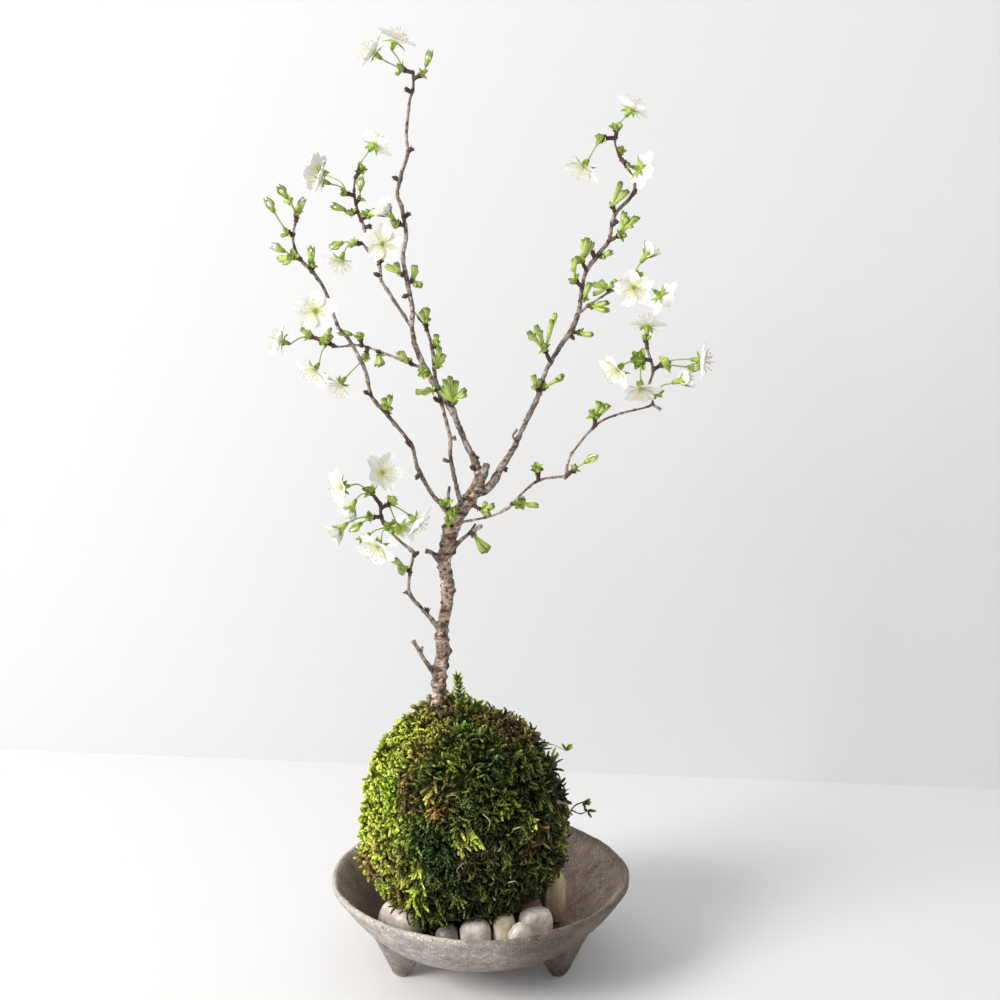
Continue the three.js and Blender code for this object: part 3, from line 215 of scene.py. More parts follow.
# Leafy spurs, grown together with the tree
SPURS = [
  [[-31, 460.5, 1], [-27.6, 462.4, -1], [3, 3.8], ["bud", [-22.8, 473.6, -2], [-25.6, 465.4, -1]]],
  [[-74.3, 352.5, -25], [-77, 351, -28], [0, 0], ["bloom", [-0.05, -0.98, 0.15], [-80.4, 348.6, -29]]],
  [[-49.6, 372, 13.5], [-48.6, 374.5, 11], [0, 0], ["bloom", [0.05, -0.98, 0.15], [-47.4, 381.4, 8]]],
  [[-36.2, 366, -4], [-38.8, 367.4, -5], [0, 0], ["leaf", [-41.2, 373, -6]], ["leaf", [-46, 371.6, -4]]],
  [[-35.5, 362.6, -4], [-32.8, 364.2, -2], [0, 0], ["leaf", [-31.6, 371.8, -2]],
    ["leaf", [-28, 361.4, -1]]],
  [[-26.2, 339.6, 6], [-26.5, 343.4, 4.5], [0, 0], ["leaf", [-25.6, 350.6, 3]], ["leaf", [-29, 349, 3]]],
  [[-23.6, 331, 6], [-21.6, 332, 5], [0, 0], ["leaf", [-21.2, 337.6, 4]]],
  [[-22.6, 320, 7], [-21.2, 321.6, 5], [0, 0], ["leaf", [-19.6, 331, 4]], ["leaf", [-17.2, 327.6, 5]]],
  [[-25.6, 318, 1], [-26.6, 318.4, -2.5], [6, 4.6]],
  [[-21, 310, 2], [-23.6, 309.4, -0.5], [0, 0], ["leaf", [-32, 308.6, -2]]],
  [[-14.6, 300, 4], [-13, 303.2, 1], [0, 0], ["leaf", [-18, 312, -1]], ["leaf", [-14.8, 316.4, 0]],
    ["leaf", [-6.6, 310, 0], [-11.6, 305.4, 0]]],
  [[-34, 322.8, 4.4], [-35.4, 324.2, 2], [0, 0], ["leaf", [-40.8, 328.6, 1]]],
  [[-50, 329, 10], [-50, 327.4, 8.6], [0, 0], ["leaf", [-49.4, 321.6, 7]]],
  [[-58.5, 331.6, 12], [-59.2, 335.2, 10], [4, 4.2], ["bud", [-70.6, 339, 8], [-63, 337.3, 9]]],
  [[-46.3, 296.8, -18], [-46.2, 299.2, -19], [0, 0], ["leaf", [-44.8, 306.4, -20]],
    ["leaf", [-48.4, 305.4, -20]]],
  [[-82.5, 368.5, -27], [-82.6, 371.2, -28], [2, 3.2], ["bud", [-82.8, 381, -28]]],
  [[-88.2, 374.6, -27], [-91.4, 375.6, -29], [4, 4], ["bud", [-103, 381.6, -31], [-95, 378, -30]],
    ["leaf", [-99.4, 375, -27]]],
  [[-91.4, 386.5, -28], [-93.9, 387.3, -29], [3, 3.6], ["bud", [-104.4, 404.2, -31], [-98, 393.4, -30]]],
  [[-89.8, 392.6, -28], [-89.3, 396, -28], [4, 4], ["bud", [-98.6, 410.4, -30], [-92, 402, -29]],
    ["bud", [-94.4, 405.4, -23]], ["bud", [-85.6, 404.4, -27]]],
  [[-59.3, 397.6, 20], [-62, 397.3, 18], [2, 3.6], ["bud", [-72.2, 400.8, 17]]],
  [[-60.2, 402, 20.5], [-58.2, 404, 19], [0, 0], ["bud", [-57.4, 414.4, 17]]],
  [[-57.6, 393.4, 19.5], [-55.6, 395.8, 17.6], [4, 4], ["leaf", [-49.6, 397.4, 16]]],
  [[-36.4, 214.4, -15], [-37.8, 216.8, -16], [0, 0], ["leaf", [-45, 221.6, -17]],
    ["leaf", [-41.6, 217.4, -18]]],
  [[35.2, 323.5, 14], [33, 329.4, 12], [4, 4.4], ["leaf", [24.6, 339, 10], [28.6, 334.4, 11]],
    ["leaf", [28.4, 342, 12], [31, 336, 12]], ["leaf", [36.4, 345, 12], [35, 337, 12]]],
  [[30.5, 309, 11.5], [32.8, 310.6, 9.6], [0, 0], ["leaf", [42.4, 317.4, 8], [36.4, 313, 9]]],
  [[30.4, 308, 11.5], [28.6, 310.6, 10], [0, 0], ["leaf", [27.2, 317, 9]]],
  [[46, 338.2, 18], [50.2, 338.4, 16], [0, 0], ["leaf", [56.8, 337.4, 15]]],
  [[54.5, 351.8, 15.8], [56.2, 351.4, 13.6], [0, 0], ["leaf", [64.4, 353.4, 11]],
    ["leaf", [65, 349.2, 12]]],
  [[50.4, 353.6, 21], [52.2, 355.4, 19], [0, 0], ["leaf", [55.2, 363, 17]]],
  [[64.6, 358.8, 6], [64, 360.6, 4], [0, 0], ["leaf", [56.4, 362.6, 3]], ["leaf", [71.4, 363.4, 2]]],
  [[51.3, 360.5, 22], [48, 364, 20], [4, 4.2], ["leaf", [46.8, 375, 19], [47.4, 368, 19]]],
  [[53.3, 369, 22], [50.9, 373.6, 20], [4, 4.2], ["leaf", [53.6, 385, 18], [52, 377.6, 19]],
    ["leaf", [56.4, 383, 20], [53.6, 377.4, 20]]],
  [[58.8, 376.8, 22], [61, 375.8, 20], [0, 0], ["leaf", [65.4, 378.6, 19]]],
  [[64, 383, 21], [69, 386, 19], [5, 4.4], ["leaf", [71.8, 397.6, 18], [70.8, 390.6, 18]],
    ["leaf", [77.4, 395.2, 17], [72.8, 390.4, 18]]],
  [[67, 396.6, 19], [65.8, 400.6, 18], [0, 0], ["leaf", [69.8, 412, 15], [67.2, 405, 16]],
    ["leaf", [73.4, 408, 14], [69, 403.6, 15]]],
  [[68.6, 424.6, 14], [69.6, 426.6, 12], [3, 3.4]],
  [[16.6, 251, -13.6], [20.4, 251.4, -17], [6, 4.6], ["leaf", [29.6, 250.6, -17], [23.6, 250.8, -17]]],
  [[30, 263, -17], [29.8, 267.6, -18], [6, 4.8]],
  [[44.2, 265.3, -20], [48, 268.6, -21], [3, 3.8], ["bud", [60, 276.2, -23], [52.3, 271.6, -22]]],
  [[58.4, 291.3, -22], [58.7, 295.6, -23], [6, 4.6], ["leaf", [60.2, 304, -23]],
    ["leaf", [65.4, 302.2, -23]]],
  [[-4, 250, -2], [0.8, 247.8, -5], [0, 0], ["leaf", [7.6, 250.2, -6]], ["leaf", [5.6, 245.2, -6]]],
  [[-15.6, 246, -3], [-18, 250.6, -7.4], [5, 4.6]],
  [[-13.2, 243, -3], [-13, 247, -7], [4, 4]],
  [[-15.4, 237.6, -2.8], [-15.4, 240, -6], [0, 0], ["leaf", [-13.6, 245.6, -7.4]]],
  [[-4.6, 235.6, -3.6], [-2.8, 234.4, -4.6], [0, 0], ["leaf", [5.4, 227.2, -6]]],
]


# Flowers and shoots
PETAL_COUNT = 5
PETAL_LENGTH = 9.4
PETAL_WIDTH = 8.2
PETAL_START = 1.0
OPEN_LIFT = 0.28
HALF_OPEN_LIFT = 1.0
CALYX_LENGTH = 4.3
# A white bud, the part of it that its calyx hides, and the length of that calyx
BUD_LENGTH, BUD_HIDDEN, BUD_CALYX = 7.6, 2.4, 3.0
WHITE_BUD_RADIUS = 1.6
# Lengths and widths
SEPAL_SIZE, BUD_SEPAL_SIZE = (5.2, 2.5), (5.0, 3.3)
# Angles of the sepals and of the widest stamens from the flower's axis
OPEN_SEPALS, HALF_OPEN_SEPALS = 1.7, 0.75
OPEN_STAMENS, HALF_OPEN_STAMENS = 0.95, 0.45
HALF_OPEN_SIZE = 0.86
STAMEN_LENGTHS, STYLE_LENGTH = (4.6, 6.9), 6.8
STAMEN_RADIUS, STYLE_RADIUS = 0.11, 0.16
STALK_RADIUS = 0.42
BRACT_RISE = 0.55
# The number and length of the leaves where a spur has none of its own readings
FEWEST_BRACTS = 3, 3.0
# In turns round the axis: where the first petal stands, and how much further on a sepal does, in the gap
PETAL_TURN, SEPAL_TURN = 0.25, 0.1
# Each scale and stamen is turned on from the last one by about the golden angle
SCALE_TURN, STAMEN_TURN = 2.4, 2.39996
SCALE_LENGTHS = (1.5, 2.6)
# Forms along a length: shares of it and radii there
CLUB_FORM = [[0, 0.2, 0.5, 0.78, 0.92, 1], [0.45, 0.5, 0.85, 1, 0.92, 0.5]]
CALYX_FORM = [[0, 0.08, 0.3, 0.6, 0.85, 1], [0.5, 0.85, 1.15, 1.3, 1.6, 1.65]]
BROWN_BUD_FORM = [[0, 0.25, 0.6, 0.85, 1], [0.8, 0.95, 1.1, 0.7, 0.15]]
# An anther's steps beyond the end of its stalk, in millimetres, and radii there
ANTHER_FORM = np.array([[-0.1, 0.05, 0.32, 0.55], [0.05, 0.25, 0.25, 0.04]])

# Dish
DISH_RADIUS = 80
DISH_OUTSIDE = [[0, 12], [28, 12.3], [46, 15.5], [60, 23.5], [71, 35], [79.8, 47.2]]
DISH_LIP = [[80, 48.2], [79.8, 49.1], [79.2, 49.7], [78.3, 49.9], [77.3, 49.4]]
DISH_INSIDE = [[76, 47.5], [68, 36.5], [57, 25.8], [45, 20.5], [30, 18], [0, 17.6]]
LIP_FROM, LIP_BAND = 44.8, 3.5
RIM_PINCH = 0.03
RIM_DIP = 1.8
FOOT_CIRCLE = 46.5
FOOT_ANGLES = [-27, 90, 207]
FOOT_PROFILE = [[3.5, 0], [4, 0.5], [5.1, 2], [7.1, 6], [9.6, 10.5], [12.2, 14.5], [15.6, 18], [19, 20]]
FOOT_SPLAY = 1.5

# Moss ball
BALL_CENTRE = np.array([-8, 0, 77])
BALL_SIDE, BALL_UP, BALL_DOWN = 53, 57.5, 61
BALL_BOXINESS = 2.25
BALL_FLOOR = 18.6
# Where the ball stands out or, by the brown pebble, falls back: [a direction, by how much]
BULGES = [[[-0.72, -0.2, 0.66], 5], [[-0.97, -0.15, -0.22], 3.5], [[0.98, -0.1, 0.05], 2.5],
          [[0.62, -0.47, -0.63], -7]]
BULGE_SPREAD = 0.12
# The height up to which the pebbles press the ball in, over what height and how deep
PEBBLE_TOP, PRESSED_BAND, PRESSED_DEPTH = 44.6, 5, 5
# The moss that is drawn up round the trunk: its height and radius
MOUND, MOUND_RADIUS = 11.5, 17.0
BED_ROWS, BED_COLUMNS = 80, 128
# How deep the bed lies under the shoots, and the share of the moss's tint it keeps: the bed is painted dark
# as shade in the gaps between shoots
BED_DEPTH, BED_SHADE = 5.4, 0.22
LONG_COUNT, SMALL_COUNT = 7280, 7700
# Shoots of both kinds: their lengths and how deep they root, and how much less deep at the top
LONG_LENGTH, LONG_SINK = (4.4, 7.4), 3.0
SMALL_LENGTH, SMALL_SINK = (2.6, 4.4), 4.4
TOP_SINK = 3.2
# Each shoot's place is turned on from the last one's by the golden angle
SHOOT_TURN = 2.399963
MOST_FACES = 180000
LITTER = 40
# How much lighter the left side is and how much darker the right one: painted light and painted shade
SUNLIT, SHADED = 0.3, 0.16
# The stem of the small fir-like sprig beside the trunk: readings of [x, z, back, radius]
SPRIG = [[-9.5, 128, -6, 0.9], [-9.8, 138, -6, 0.75], [-10.8, 150, -6, 0.55], [-11.6, 158, -6, 0.35]]


def unit(vectors):
    return vectors / np.maximum(np.linalg.norm(vectors, axis=-1, keepdims=True), 1e-9)


def at(reading):
    """The point that a reading stands for."""
    x, z, back = reading[:3]
    depth = back * (1 + SPREAD * abs(back))
    return EYE + (np.array([x, 0, z]) - EYE) * (1 - depth / EYE[1])


def with_radii(readings):
    """The points and radii that readings of [x, z, back, radius] stand for."""
    return np.array([[*at(reading), reading[3]] for reading in readings])


def hashed(cells, seed):
    """A draw between 0 and 1 for each cell, always the same."""
    mixed = np.sin(cells @ np.array([127.1, 311.7, 74.7]) + seed * 19.19) * 43758.5453
    return mixed - np.floor(mixed)


def rough(points, lump, seed=0, octaves=1):
    """Smooth noise between about -1 and 1, with lumps of a size in millimetres. Each seed has its own."""
    total, height = 0, 1
    for octave in range(octaves):
        spot = np.asarray(points) / lump * 2**octave + 31.7 * seed
        cell = np.floor(spot)
        part = spot - cell
        fade = part * part * (3 - 2 * part)
        value = 0
        for corner in np.ndindex(2, 2, 2):
            weight = np.prod(np.where(corner, fade, 1 - fade), axis=-1)
            value = value + weight * hashed(cell + corner, seed + octave)
        total = total + height * (2 * value - 1)
        height /= 2
    return total


def blend(low, high, share):
    """Tints between a low and a high one, one for each share."""
    share = clamp(np.asarray(share, float))[..., None]
    return np.asarray(low) * (1 - share) + np.asarray(high) * share


def clamp(values):
    return np.clip(values, 0, 1)


def ramp(values, start, end):
    """How far each value has come from a start to an end, from 0 to 1."""
    return clamp((values - start) / (end - start))


def turned(first, second, angle):
    """The direction at an angle from a first one, towards a second one that is square to it."""
    return first * math.cos(angle) + second * math.sin(angle)


def steps_round(count):
    """Angles once round, in even steps."""
    return np.linspace(0, TAU, count, endpoint=False)


def square_part(vectors, ways):
    """The direction of the part of each vector that is square to its way."""
    return unit(vectors - ways * np.sum(vectors * ways, axis=1)[:, None])


def level_way(turn):
    return np.array([math.cos(turn), math.sin(turn), 0])


def put(name, data):
    made = bpy.data.objects.new(name, data)
    bpy.context.scene.collection.objects.link(made)
    return made


class Shape:
    """Points, faces and a tint for each point, gathered for one piece."""

    def __init__(self):
        self.points, self.tints, self.faces, self.size = [], [], [], 0

    def add(self, points, faces, tint):
        points = np.asarray(points, float).reshape(-1, 3)
        self.points.append(points)
        self.tints.append(np.broadcast_to(np.asarray(tint, float), points.shape))
        self.faces += [np.asarray(group) + self.size for group in faces]
        self.size += len(points)

    def add_tube(self, path, radii, sides, tint):
        """A plain tube of one tint, or of one for each of its points."""
        points, faces, _ = tube(path, radii, sides)
        self.add(points, faces, tint)

    def piece(self, name, material, slot, replaces=(), smooth=True):
        """Makes the piece in metres, riding on the plant's one body."""
        mesh = bpy.data.meshes.new(name)
        points = np.concatenate(self.points) * MM + DISH_AXIS
        corners = np.concatenate([group.ravel() for group in self.faces])
        sizes = np.concatenate([np.full(len(group), group.shape[1]) for group in self.faces])
        mesh.vertices.add(len(points))
        mesh.vertices.foreach_set("co", points.astype(np.float32).ravel())
        mesh.loops.add(len(corners))
        mesh.loops.foreach_set("vertex_index", corners.astype(np.int32))
        mesh.polygons.add(len(sizes))
        mesh.polygons.foreach_set("loop_start", (np.cumsum(sizes) - sizes).astype(np.int32))
        mesh.update(calc_edges=True)
        mesh.polygons.foreach_set("use_smooth", np.full(len(sizes), smooth))
        tints = np.concatenate(self.tints)
        tinted = np.concatenate([clamp(tints), np.ones((len(tints), 1))], axis=1)
        layer = mesh.color_attributes.new("Tint", "FLOAT_COLOR", "POINT")
        layer.data.foreach_set("color", tinted.astype(np.float32).ravel())
        mesh.materials.append(material)
        made = put(name, mesh)
        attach(made, "root")
        if replaces:
            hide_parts(*replaces)


def grid_faces(rows, columns, wraps=False):
    """Quads over a grid of points, row by row, that may close round on itself."""
    across = columns if wraps else columns - 1
    row, column = np.meshgrid(np.arange(rows - 1), np.arange(across), indexing="ij")
    here = (row * columns + column).ravel()
    right = (row * columns + (column + 1) % columns).ravel()
    return np.stack([here, right, right + columns, here + columns], axis=1)


def smooth_run(points, step):
    """A smooth curve through points, which may carry a radius too, in steps of about one length."""
    points = np.asarray(points, float)
    ends = np.concatenate([[2 * points[0] - points[1]], points, [2 * points[-1] - points[-2]]])
    parts = []
    for a, b, c, d in zip(ends, ends[1:], ends[2:], ends[3:]):
        count = max(1, round(float(np.linalg.norm((c - b)[:3])) / step))
        t = (np.arange(count) / count)[:, None]
        parts.append(0.5 * (2 * b + (c - a) * t + (2 * a - 5 * b + 4 * c - d) * t**2
                            + (3 * b - a - 3 * c + d) * t**3))
    return np.concatenate([*parts, points[-1:]])


def fan(ring, tip):
    """Triangles from each side of a ring to one point."""
    return np.stack([np.roll(ring, -1), ring, np.full(len(ring), tip)], axis=1)


def tube(path, radii, sides):
    """Rings round a path, with an end cap on each end. Gives points, faces and outward ways."""
    along = unit(np.gradient(path, axis=0))
    side = np.cross(along[0], [0.31, 0.94, 0.13])
    across = np.empty_like(path)
    for i, way in enumerate(along):
        side = unit(side - way * (side @ way))
        across[i] = side
    other = np.cross(along, across)
    turn = steps_round(sides)[None, :, None]
    out = across[:, None] * np.cos(turn) + other[:, None] * np.sin(turn)
    rings = path[:, None] + out * np.reshape(radii, (len(path), -1))[..., None]
    points = np.concatenate([rings.reshape(-1, 3), path[:1], path[-1:]])
    first, ends = np.arange(sides), sides * len(path)
    caps = [fan(first, ends), fan(first + ends - sides, ends + 1)[:, [1, 0, 2]]]
    out = np.concatenate([out.reshape(-1, 3), -along[:1], along[-1:]])
    return points, [grid_faces(len(path), sides, True), *caps], out


def per_point(values, sides):
    """A value for each point of a tube, from one for each of its rings."""
    return np.concatenate([np.repeat(values, sides), values[:1], values[-1:]])


def blade(length, width, rows=5, columns=4, foot=0.1, round_tip=0.85, cup=0.1, bend=0.0, notch=0.0):
    """A leaf or petal in its own axes: across, along and up. Gives points, faces and shares along."""
    u = np.linspace(0, 1, rows + 1)[:, None]
    v = np.linspace(-1, 1, columns + 1)[None]
    half = width / 2 * np.sin(math.pi * (foot + (round_tip - foot) * u)) ** 0.7
    reach = length * (1 - notch * clamp(1 - np.abs(v) / 0.34) - 0.13 * v**4)
    x, y = v * half, reach * u
    z = cup * x * x + bend * length * u * u + 0 * v
    share = np.repeat(u, columns + 1)
    return np.stack([x, y, z], axis=-1).reshape(-1, 3), [grid_faces(rows + 1, columns + 1)], share


def placed(points, origin, along, up):
    """Points in axes of across, along and up, put at a place."""
    across = unit(np.cross(along, up))
    up = np.cross(across, along)
    return origin + points[:, :1] * across + points[:, 1:2] * along + points[:, 2:] * up


def ways_round(direction):
    """Two directions square to a direction, turned as a flower in the solids is."""
    turn = Vector((0, 0, 1)).rotation_difference(Vector(direction)).to_matrix()
    return np.array(turn.col[0]), np.array(turn.col[1])


# Looks. A tint painted on the points is broken up by noise, with fine relief from the same nodes.
# Dots end between these shares of a cell, and pale ones stand out more than dark ones; the pale dots are
# partly pale flecks and partly painted glints
DOT_CORE, DOT_EDGE, PALE_DOTS_AND_GLINTS = 0.15, 0.4, 1.6
# The band of the noise that is spread over the whole contrast
NOISE_LOW, NOISE_HIGH = 0.3, 0.7


class Finish:
    """A new material, with short ways to add nodes to it."""

    def __init__(self, name):
        self.material = bpy.data.materials.new(name)
        self.material.use_nodes = True
        self.tree = self.material.node_tree
        self.shader = self.tree.nodes["Principled BSDF"]
        self.place = self.add("TexCoord").outputs["Object"]

    def add(self, kind, **inputs):
        return self.feed(self.tree.nodes.new("ShaderNode" + kind), **inputs)

    def feed(self, node, **inputs):
        """Sets inputs to values or links sockets to them. From_Min stands for the input From Min."""
        for key, value in inputs.items():
            socket = node.inputs[key.replace("_", " ")]
            if isinstance(value, bpy.types.NodeSocket):
                self.tree.links.new(value, socket)
            else:
                socket.default_value = value
        return node

    def noise(self, lump, detail):
        """Noise with lumps of a size in millimetres."""
        return self.add("TexNoise", Vector=self.place, Scale=1 / (lump * MM), Detail=detail).outputs["Fac"]

    def specked(self, strength, size, reach):
        """Adds dots of about one size, from dark to light, to a strength."""
        cells = self.add("TexVoronoi", Vector=self.place, Scale=1 / (size * MM))
        dot = self.add("MapRange", Value=cells.outputs["Distance"], From_Min=DOT_CORE, From_Max=DOT_EDGE,
                       To_Min=1, To_Max=0)
        parts = self.add("SeparateColor", Color=cells.outputs["Color"])
        # Pale dots: partly pale flecks, partly painted glints
        kind = self.add("MapRange", Value=parts.outputs["Red"], To_Min=-reach, To_Max=PALE_DOTS_AND_GLINTS * reach)
        total = self.tree.nodes.new("ShaderNodeMath")
        total.operation = "MULTIPLY_ADD"
        for i, value in enumerate([dot.outputs["Result"], kind.outputs["Result"], strength]):
            self.tree.links.new(value, total.inputs[i])
        return total.outputs["Value"]


def look(name, roughness, lump=2.0, contrast=0.25, relief=0.15, relief_lump=0.6, specks=0, **surface):
    """A material for tinted points: mottled in lumps, specked and in relief, with sizes in millimetres."""
    finish = Finish(name)
    finish.feed(finish.shader, Roughness=roughness, **surface)
    tint = finish.add("VertexColor")
    tint.layer_name = "Tint"
    spread = finish.add("MapRange", Value=finish.noise(lump, 4), From_Min=NOISE_LOW, From_Max=NOISE_HIGH,
                        To_Min=1 - contrast, To_Max=1 + contrast)
    strength = spread.outputs["Result"]
    if specks:
        strength = finish.specked(strength, specks, 0.75)
        strength = finish.specked(strength, specks * 0.45, 1)
    shade = finish.add("VectorMath")
    shade.operation = "SCALE"
    finish.feed(shade, Vector=tint.outputs["Color"], Scale=strength)
    finish.feed(finish.shader, Base_Color=shade.outputs["Vector"])
    if relief:
        bump = finish.add("Bump", Strength=relief, Distance=relief_lump * MM)
        finish.feed(bump, Height=finish.noise(relief_lump, 3))
        finish.feed(finish.shader, Normal=bump.outputs["Normal"])
    return finish.material


BARK = look("bark", 0.7, lump=1.8, contrast=0.5, relief=0.9, relief_lump=0.8)
SCALES = look("bud_scales", 0.6, lump=1.0, contrast=0.3, relief=0.3, relief_lump=0.4)
GREEN = look("young_green", 0.5, lump=1.5, contrast=0.15, relief=0.1, relief_lump=0.4,
             Subsurface_Weight=0.25, Subsurface_Radius=(0.0006, 0.001, 0.0002))
PETAL = look("petal", 0.55, lump=2.0, contrast=0.03, relief=0.08, relief_lump=0.5,
             Subsurface_Weight=0.3, Subsurface_Radius=(0.001, 0.001, 0.001))
STAMEN = look("stamen", 0.5, lump=0.5, contrast=0.05, relief=0.0)
MOSS = look("moss", 0.42, lump=2.2, contrast=0.3, relief=0.0, Specular_IOR_Level=0.6,
            Specular_Tint=(0.8, 0.9, 0.45, 1))
GROUND = look("moss_ground", 0.9, lump=1.5, contrast=0.5, relief=0.5, relief_lump=0.8, Specular_IOR_Level=0.1)
STONEWARE = look("stoneware", 0.62, lump=9.0, contrast=0.16, relief=0.6, relief_lump=0.6, specks=1.7)
PEBBLE = look("pebble", 0.38, lump=5.0, contrast=0.08, relief=0.12, relief_lump=1.2,
              Subsurface_Weight=0.2, Subsurface_Radius=(0.003, 0.0025, 0.002))
SOIL = look("soil", 0.95, lump=3.0, contrast=0.5, relief=0.6, relief_lump=1.5)

# The tree's tints
BARK_LIGHT, BARK_MID, BARK_DARK = (0.68, 0.52, 0.4), (0.38, 0.27, 0.195), (0.05, 0.028, 0.018)
TWIG_LIGHT, TWIG_MID = (0.45, 0.385, 0.335), (0.2, 0.155, 0.13)
SCALE_DARK, SCALE_RED, SCALE_TAN = (0.045, 0.022, 0.016), (0.12, 0.05, 0.035), (0.3, 0.17, 0.1)
GREEN_BRIGHT, GREEN_MID, GREEN_DEEP = (0.5, 0.63, 0.1), (0.28, 0.41, 0.05), (0.08, 0.14, 0.022)
GREEN_PALE, GREEN_STALK = (0.62, 0.68, 0.32), (0.38, 0.44, 0.16)
STYLE, STIGMA, FILAMENT = (0.55, 0.66, 0.25), (0.5, 0.55, 0.2), (0.85, 0.8, 0.62)
ANTHER_DARK, ANTHER_PALE = (0.42, 0.36, 0.14), (0.7, 0.62, 0.26)
WHITE, BUD_GREEN, PETAL_HEART_AND_SHADOW = (0.93, 0.93, 0.9), (0.78, 0.85, 0.5), (0.7, 0.76, 0.22)

# Wood
RUNS = [with_radii(run) for run in [TRUNK, *BRANCHES, *STUBS]]
WOOD_STARTS = np.concatenate([run[:-1, :3] for run in RUNS])
WOOD_STEPS = np.concatenate([np.diff(run[:, :3], axis=0) for run in RUNS])


def in_wood(point):
    """The place on the middle line of the wood that is nearest to a point."""
    share = np.sum((point - WOOD_STARTS) * WOOD_STEPS, axis=1) / np.sum(WOOD_STEPS**2, axis=1)
    spots = WOOD_STARTS + WOOD_STEPS * clamp(share)[:, None]
    return spots[np.argmin(np.linalg.norm(spots - point, axis=1))]


# How many lumps the trunk has, how far up it they begin, and how far apart they are on branches
TRUNK_LUMPS, TRUNK_LUMPS_FROM, LUMP_GAP = 130, 45, 6
# A burl's width is a share of its reading's radius
BURL_WIDTH, BURL_HEIGHT = 0.75, 1.3
SEAT_WIDTH, SEAT_HEIGHT = 1.7, 0.35
TRUNK_SIDES, BRANCH_SIDES, TWIG_SIDES = 34, 16, 10
TRUNK_STEP, TWIG_STEP = 0.55, 0.9
BRANCH_RADIUS, LEAST_RADIUS = 1.6, 0.3
TRUNK_GRAIN, TWIG_GRAIN = 0.45, 0.6


def lump_on(spot, lean, widths, heights, rng):
    """A lump on the bark: its place, width and height."""
    *middle, radius = spot
    way = unit(rng.normal(size=3) * lean)
    return [*(np.array(middle) + way * radius), rng.uniform(*widths), rng.uniform(*heights)]


def knots(rng):
    """All lumps on the wood: burls, rough bark, the seats of spurs and buds, and bumps on branches."""
    lumps = [[*at(burl), burl[3] * BURL_WIDTH, BURL_HEIGHT] for burl in BURLS]
    trunk = smooth_run(RUNS[0], 1.0)
    for _ in range(TRUNK_LUMPS):
        spot = trunk[rng.integers(TRUNK_LUMPS_FROM, len(trunk))]
        lumps.append(lump_on(spot, [1, 1, 0.35], (0.6, 1.4), (0.4, 1.2), rng))
    for root in [spur[0] for spur in SPURS + SPRAYS] + [bud[0] for bud in BUDS]:
        lumps.append([*in_wood(at(root)), SEAT_WIDTH, SEAT_HEIGHT])
    for run in RUNS[1:]:
        twig = smooth_run(run, 1.0)
        for place in range(5, len(twig) - 4, LUMP_GAP):
            spot = twig[place + rng.integers(-3, 4)]
            lumps.append(lump_on(spot, [1, 0.6, 0.6], (0.7, 1.2), (0.4, 0.8), rng))
    return np.array(lumps)


def make_wood():
    """Trunk, branches and stubs with grain, cracks and lumps, dark on the lumps, and dark in the hollows as
    painted shade.
    """
    rng = np.random.default_rng(SEED)
    lumps = knots(rng)
    wood = Shape()
    for number, run in enumerate(RUNS):
        is_trunk = number == 0
        curve = smooth_run(run, TRUNK_STEP if is_trunk else TWIG_STEP)
        path, radius = curve[:, :3], curve[:, 3]
        sides = TRUNK_SIDES if is_trunk else (BRANCH_SIDES if radius.max() > BRANCH_RADIUS else TWIG_SIDES)
        points, faces, out = tube(path, np.maximum(radius, LEAST_RADIUS), sides)
        size = per_point(radius, sides)
        near = np.zeros(len(points))
        for *place, width, height in lumps:
            gap = np.linalg.norm(points - place, axis=1) / width
            near += height * np.exp(-gap * gap)
        grain = rough(points * [1, 1, 2.4], 3.2, 3, 3)
        crack = np.abs(rough(points * [0.8, 0.8, 2.0], 2.2, 5, 2))
        cut = (TRUNK_GRAIN if is_trunk else TWIG_GRAIN) * grain - 0.5 * (crack < 0.08)
        raised = np.clip(size / 3, 0.12, 1) * cut + near * np.clip(size / 2, 0.5, 1)
        points = points + out * raised[:, None]
        pale, mid = (BARK_LIGHT, BARK_MID) if is_trunk else (TWIG_LIGHT, TWIG_MID)
        thick = (size - 0.8) / 1.6
        patchy = 0.5 + 0.9 * rough(points, 6, 9, 2)
        tint = blend(blend(TWIG_MID, mid, thick), blend(TWIG_LIGHT, pale, thick), patchy)
        # Painted shade: darker where the grain sinks in. On the trunk, noise adds dark patches of its own.
        hollow = np.clip(-1.4 * grain - 0.15, 0, 0.7)
        if is_trunk:
            hollow = hollow + np.clip(2 * rough(points * [1, 1, 1.5], 1.3, 6) - 0.8, 0, 0.6)
        dark = np.clip(near * 1.5 - 0.2, 0, 0.9) + 0.7 * (crack < 0.1) + hollow
        wood.add(points, faces, blend(tint, BARK_DARK, dark))
    return wood


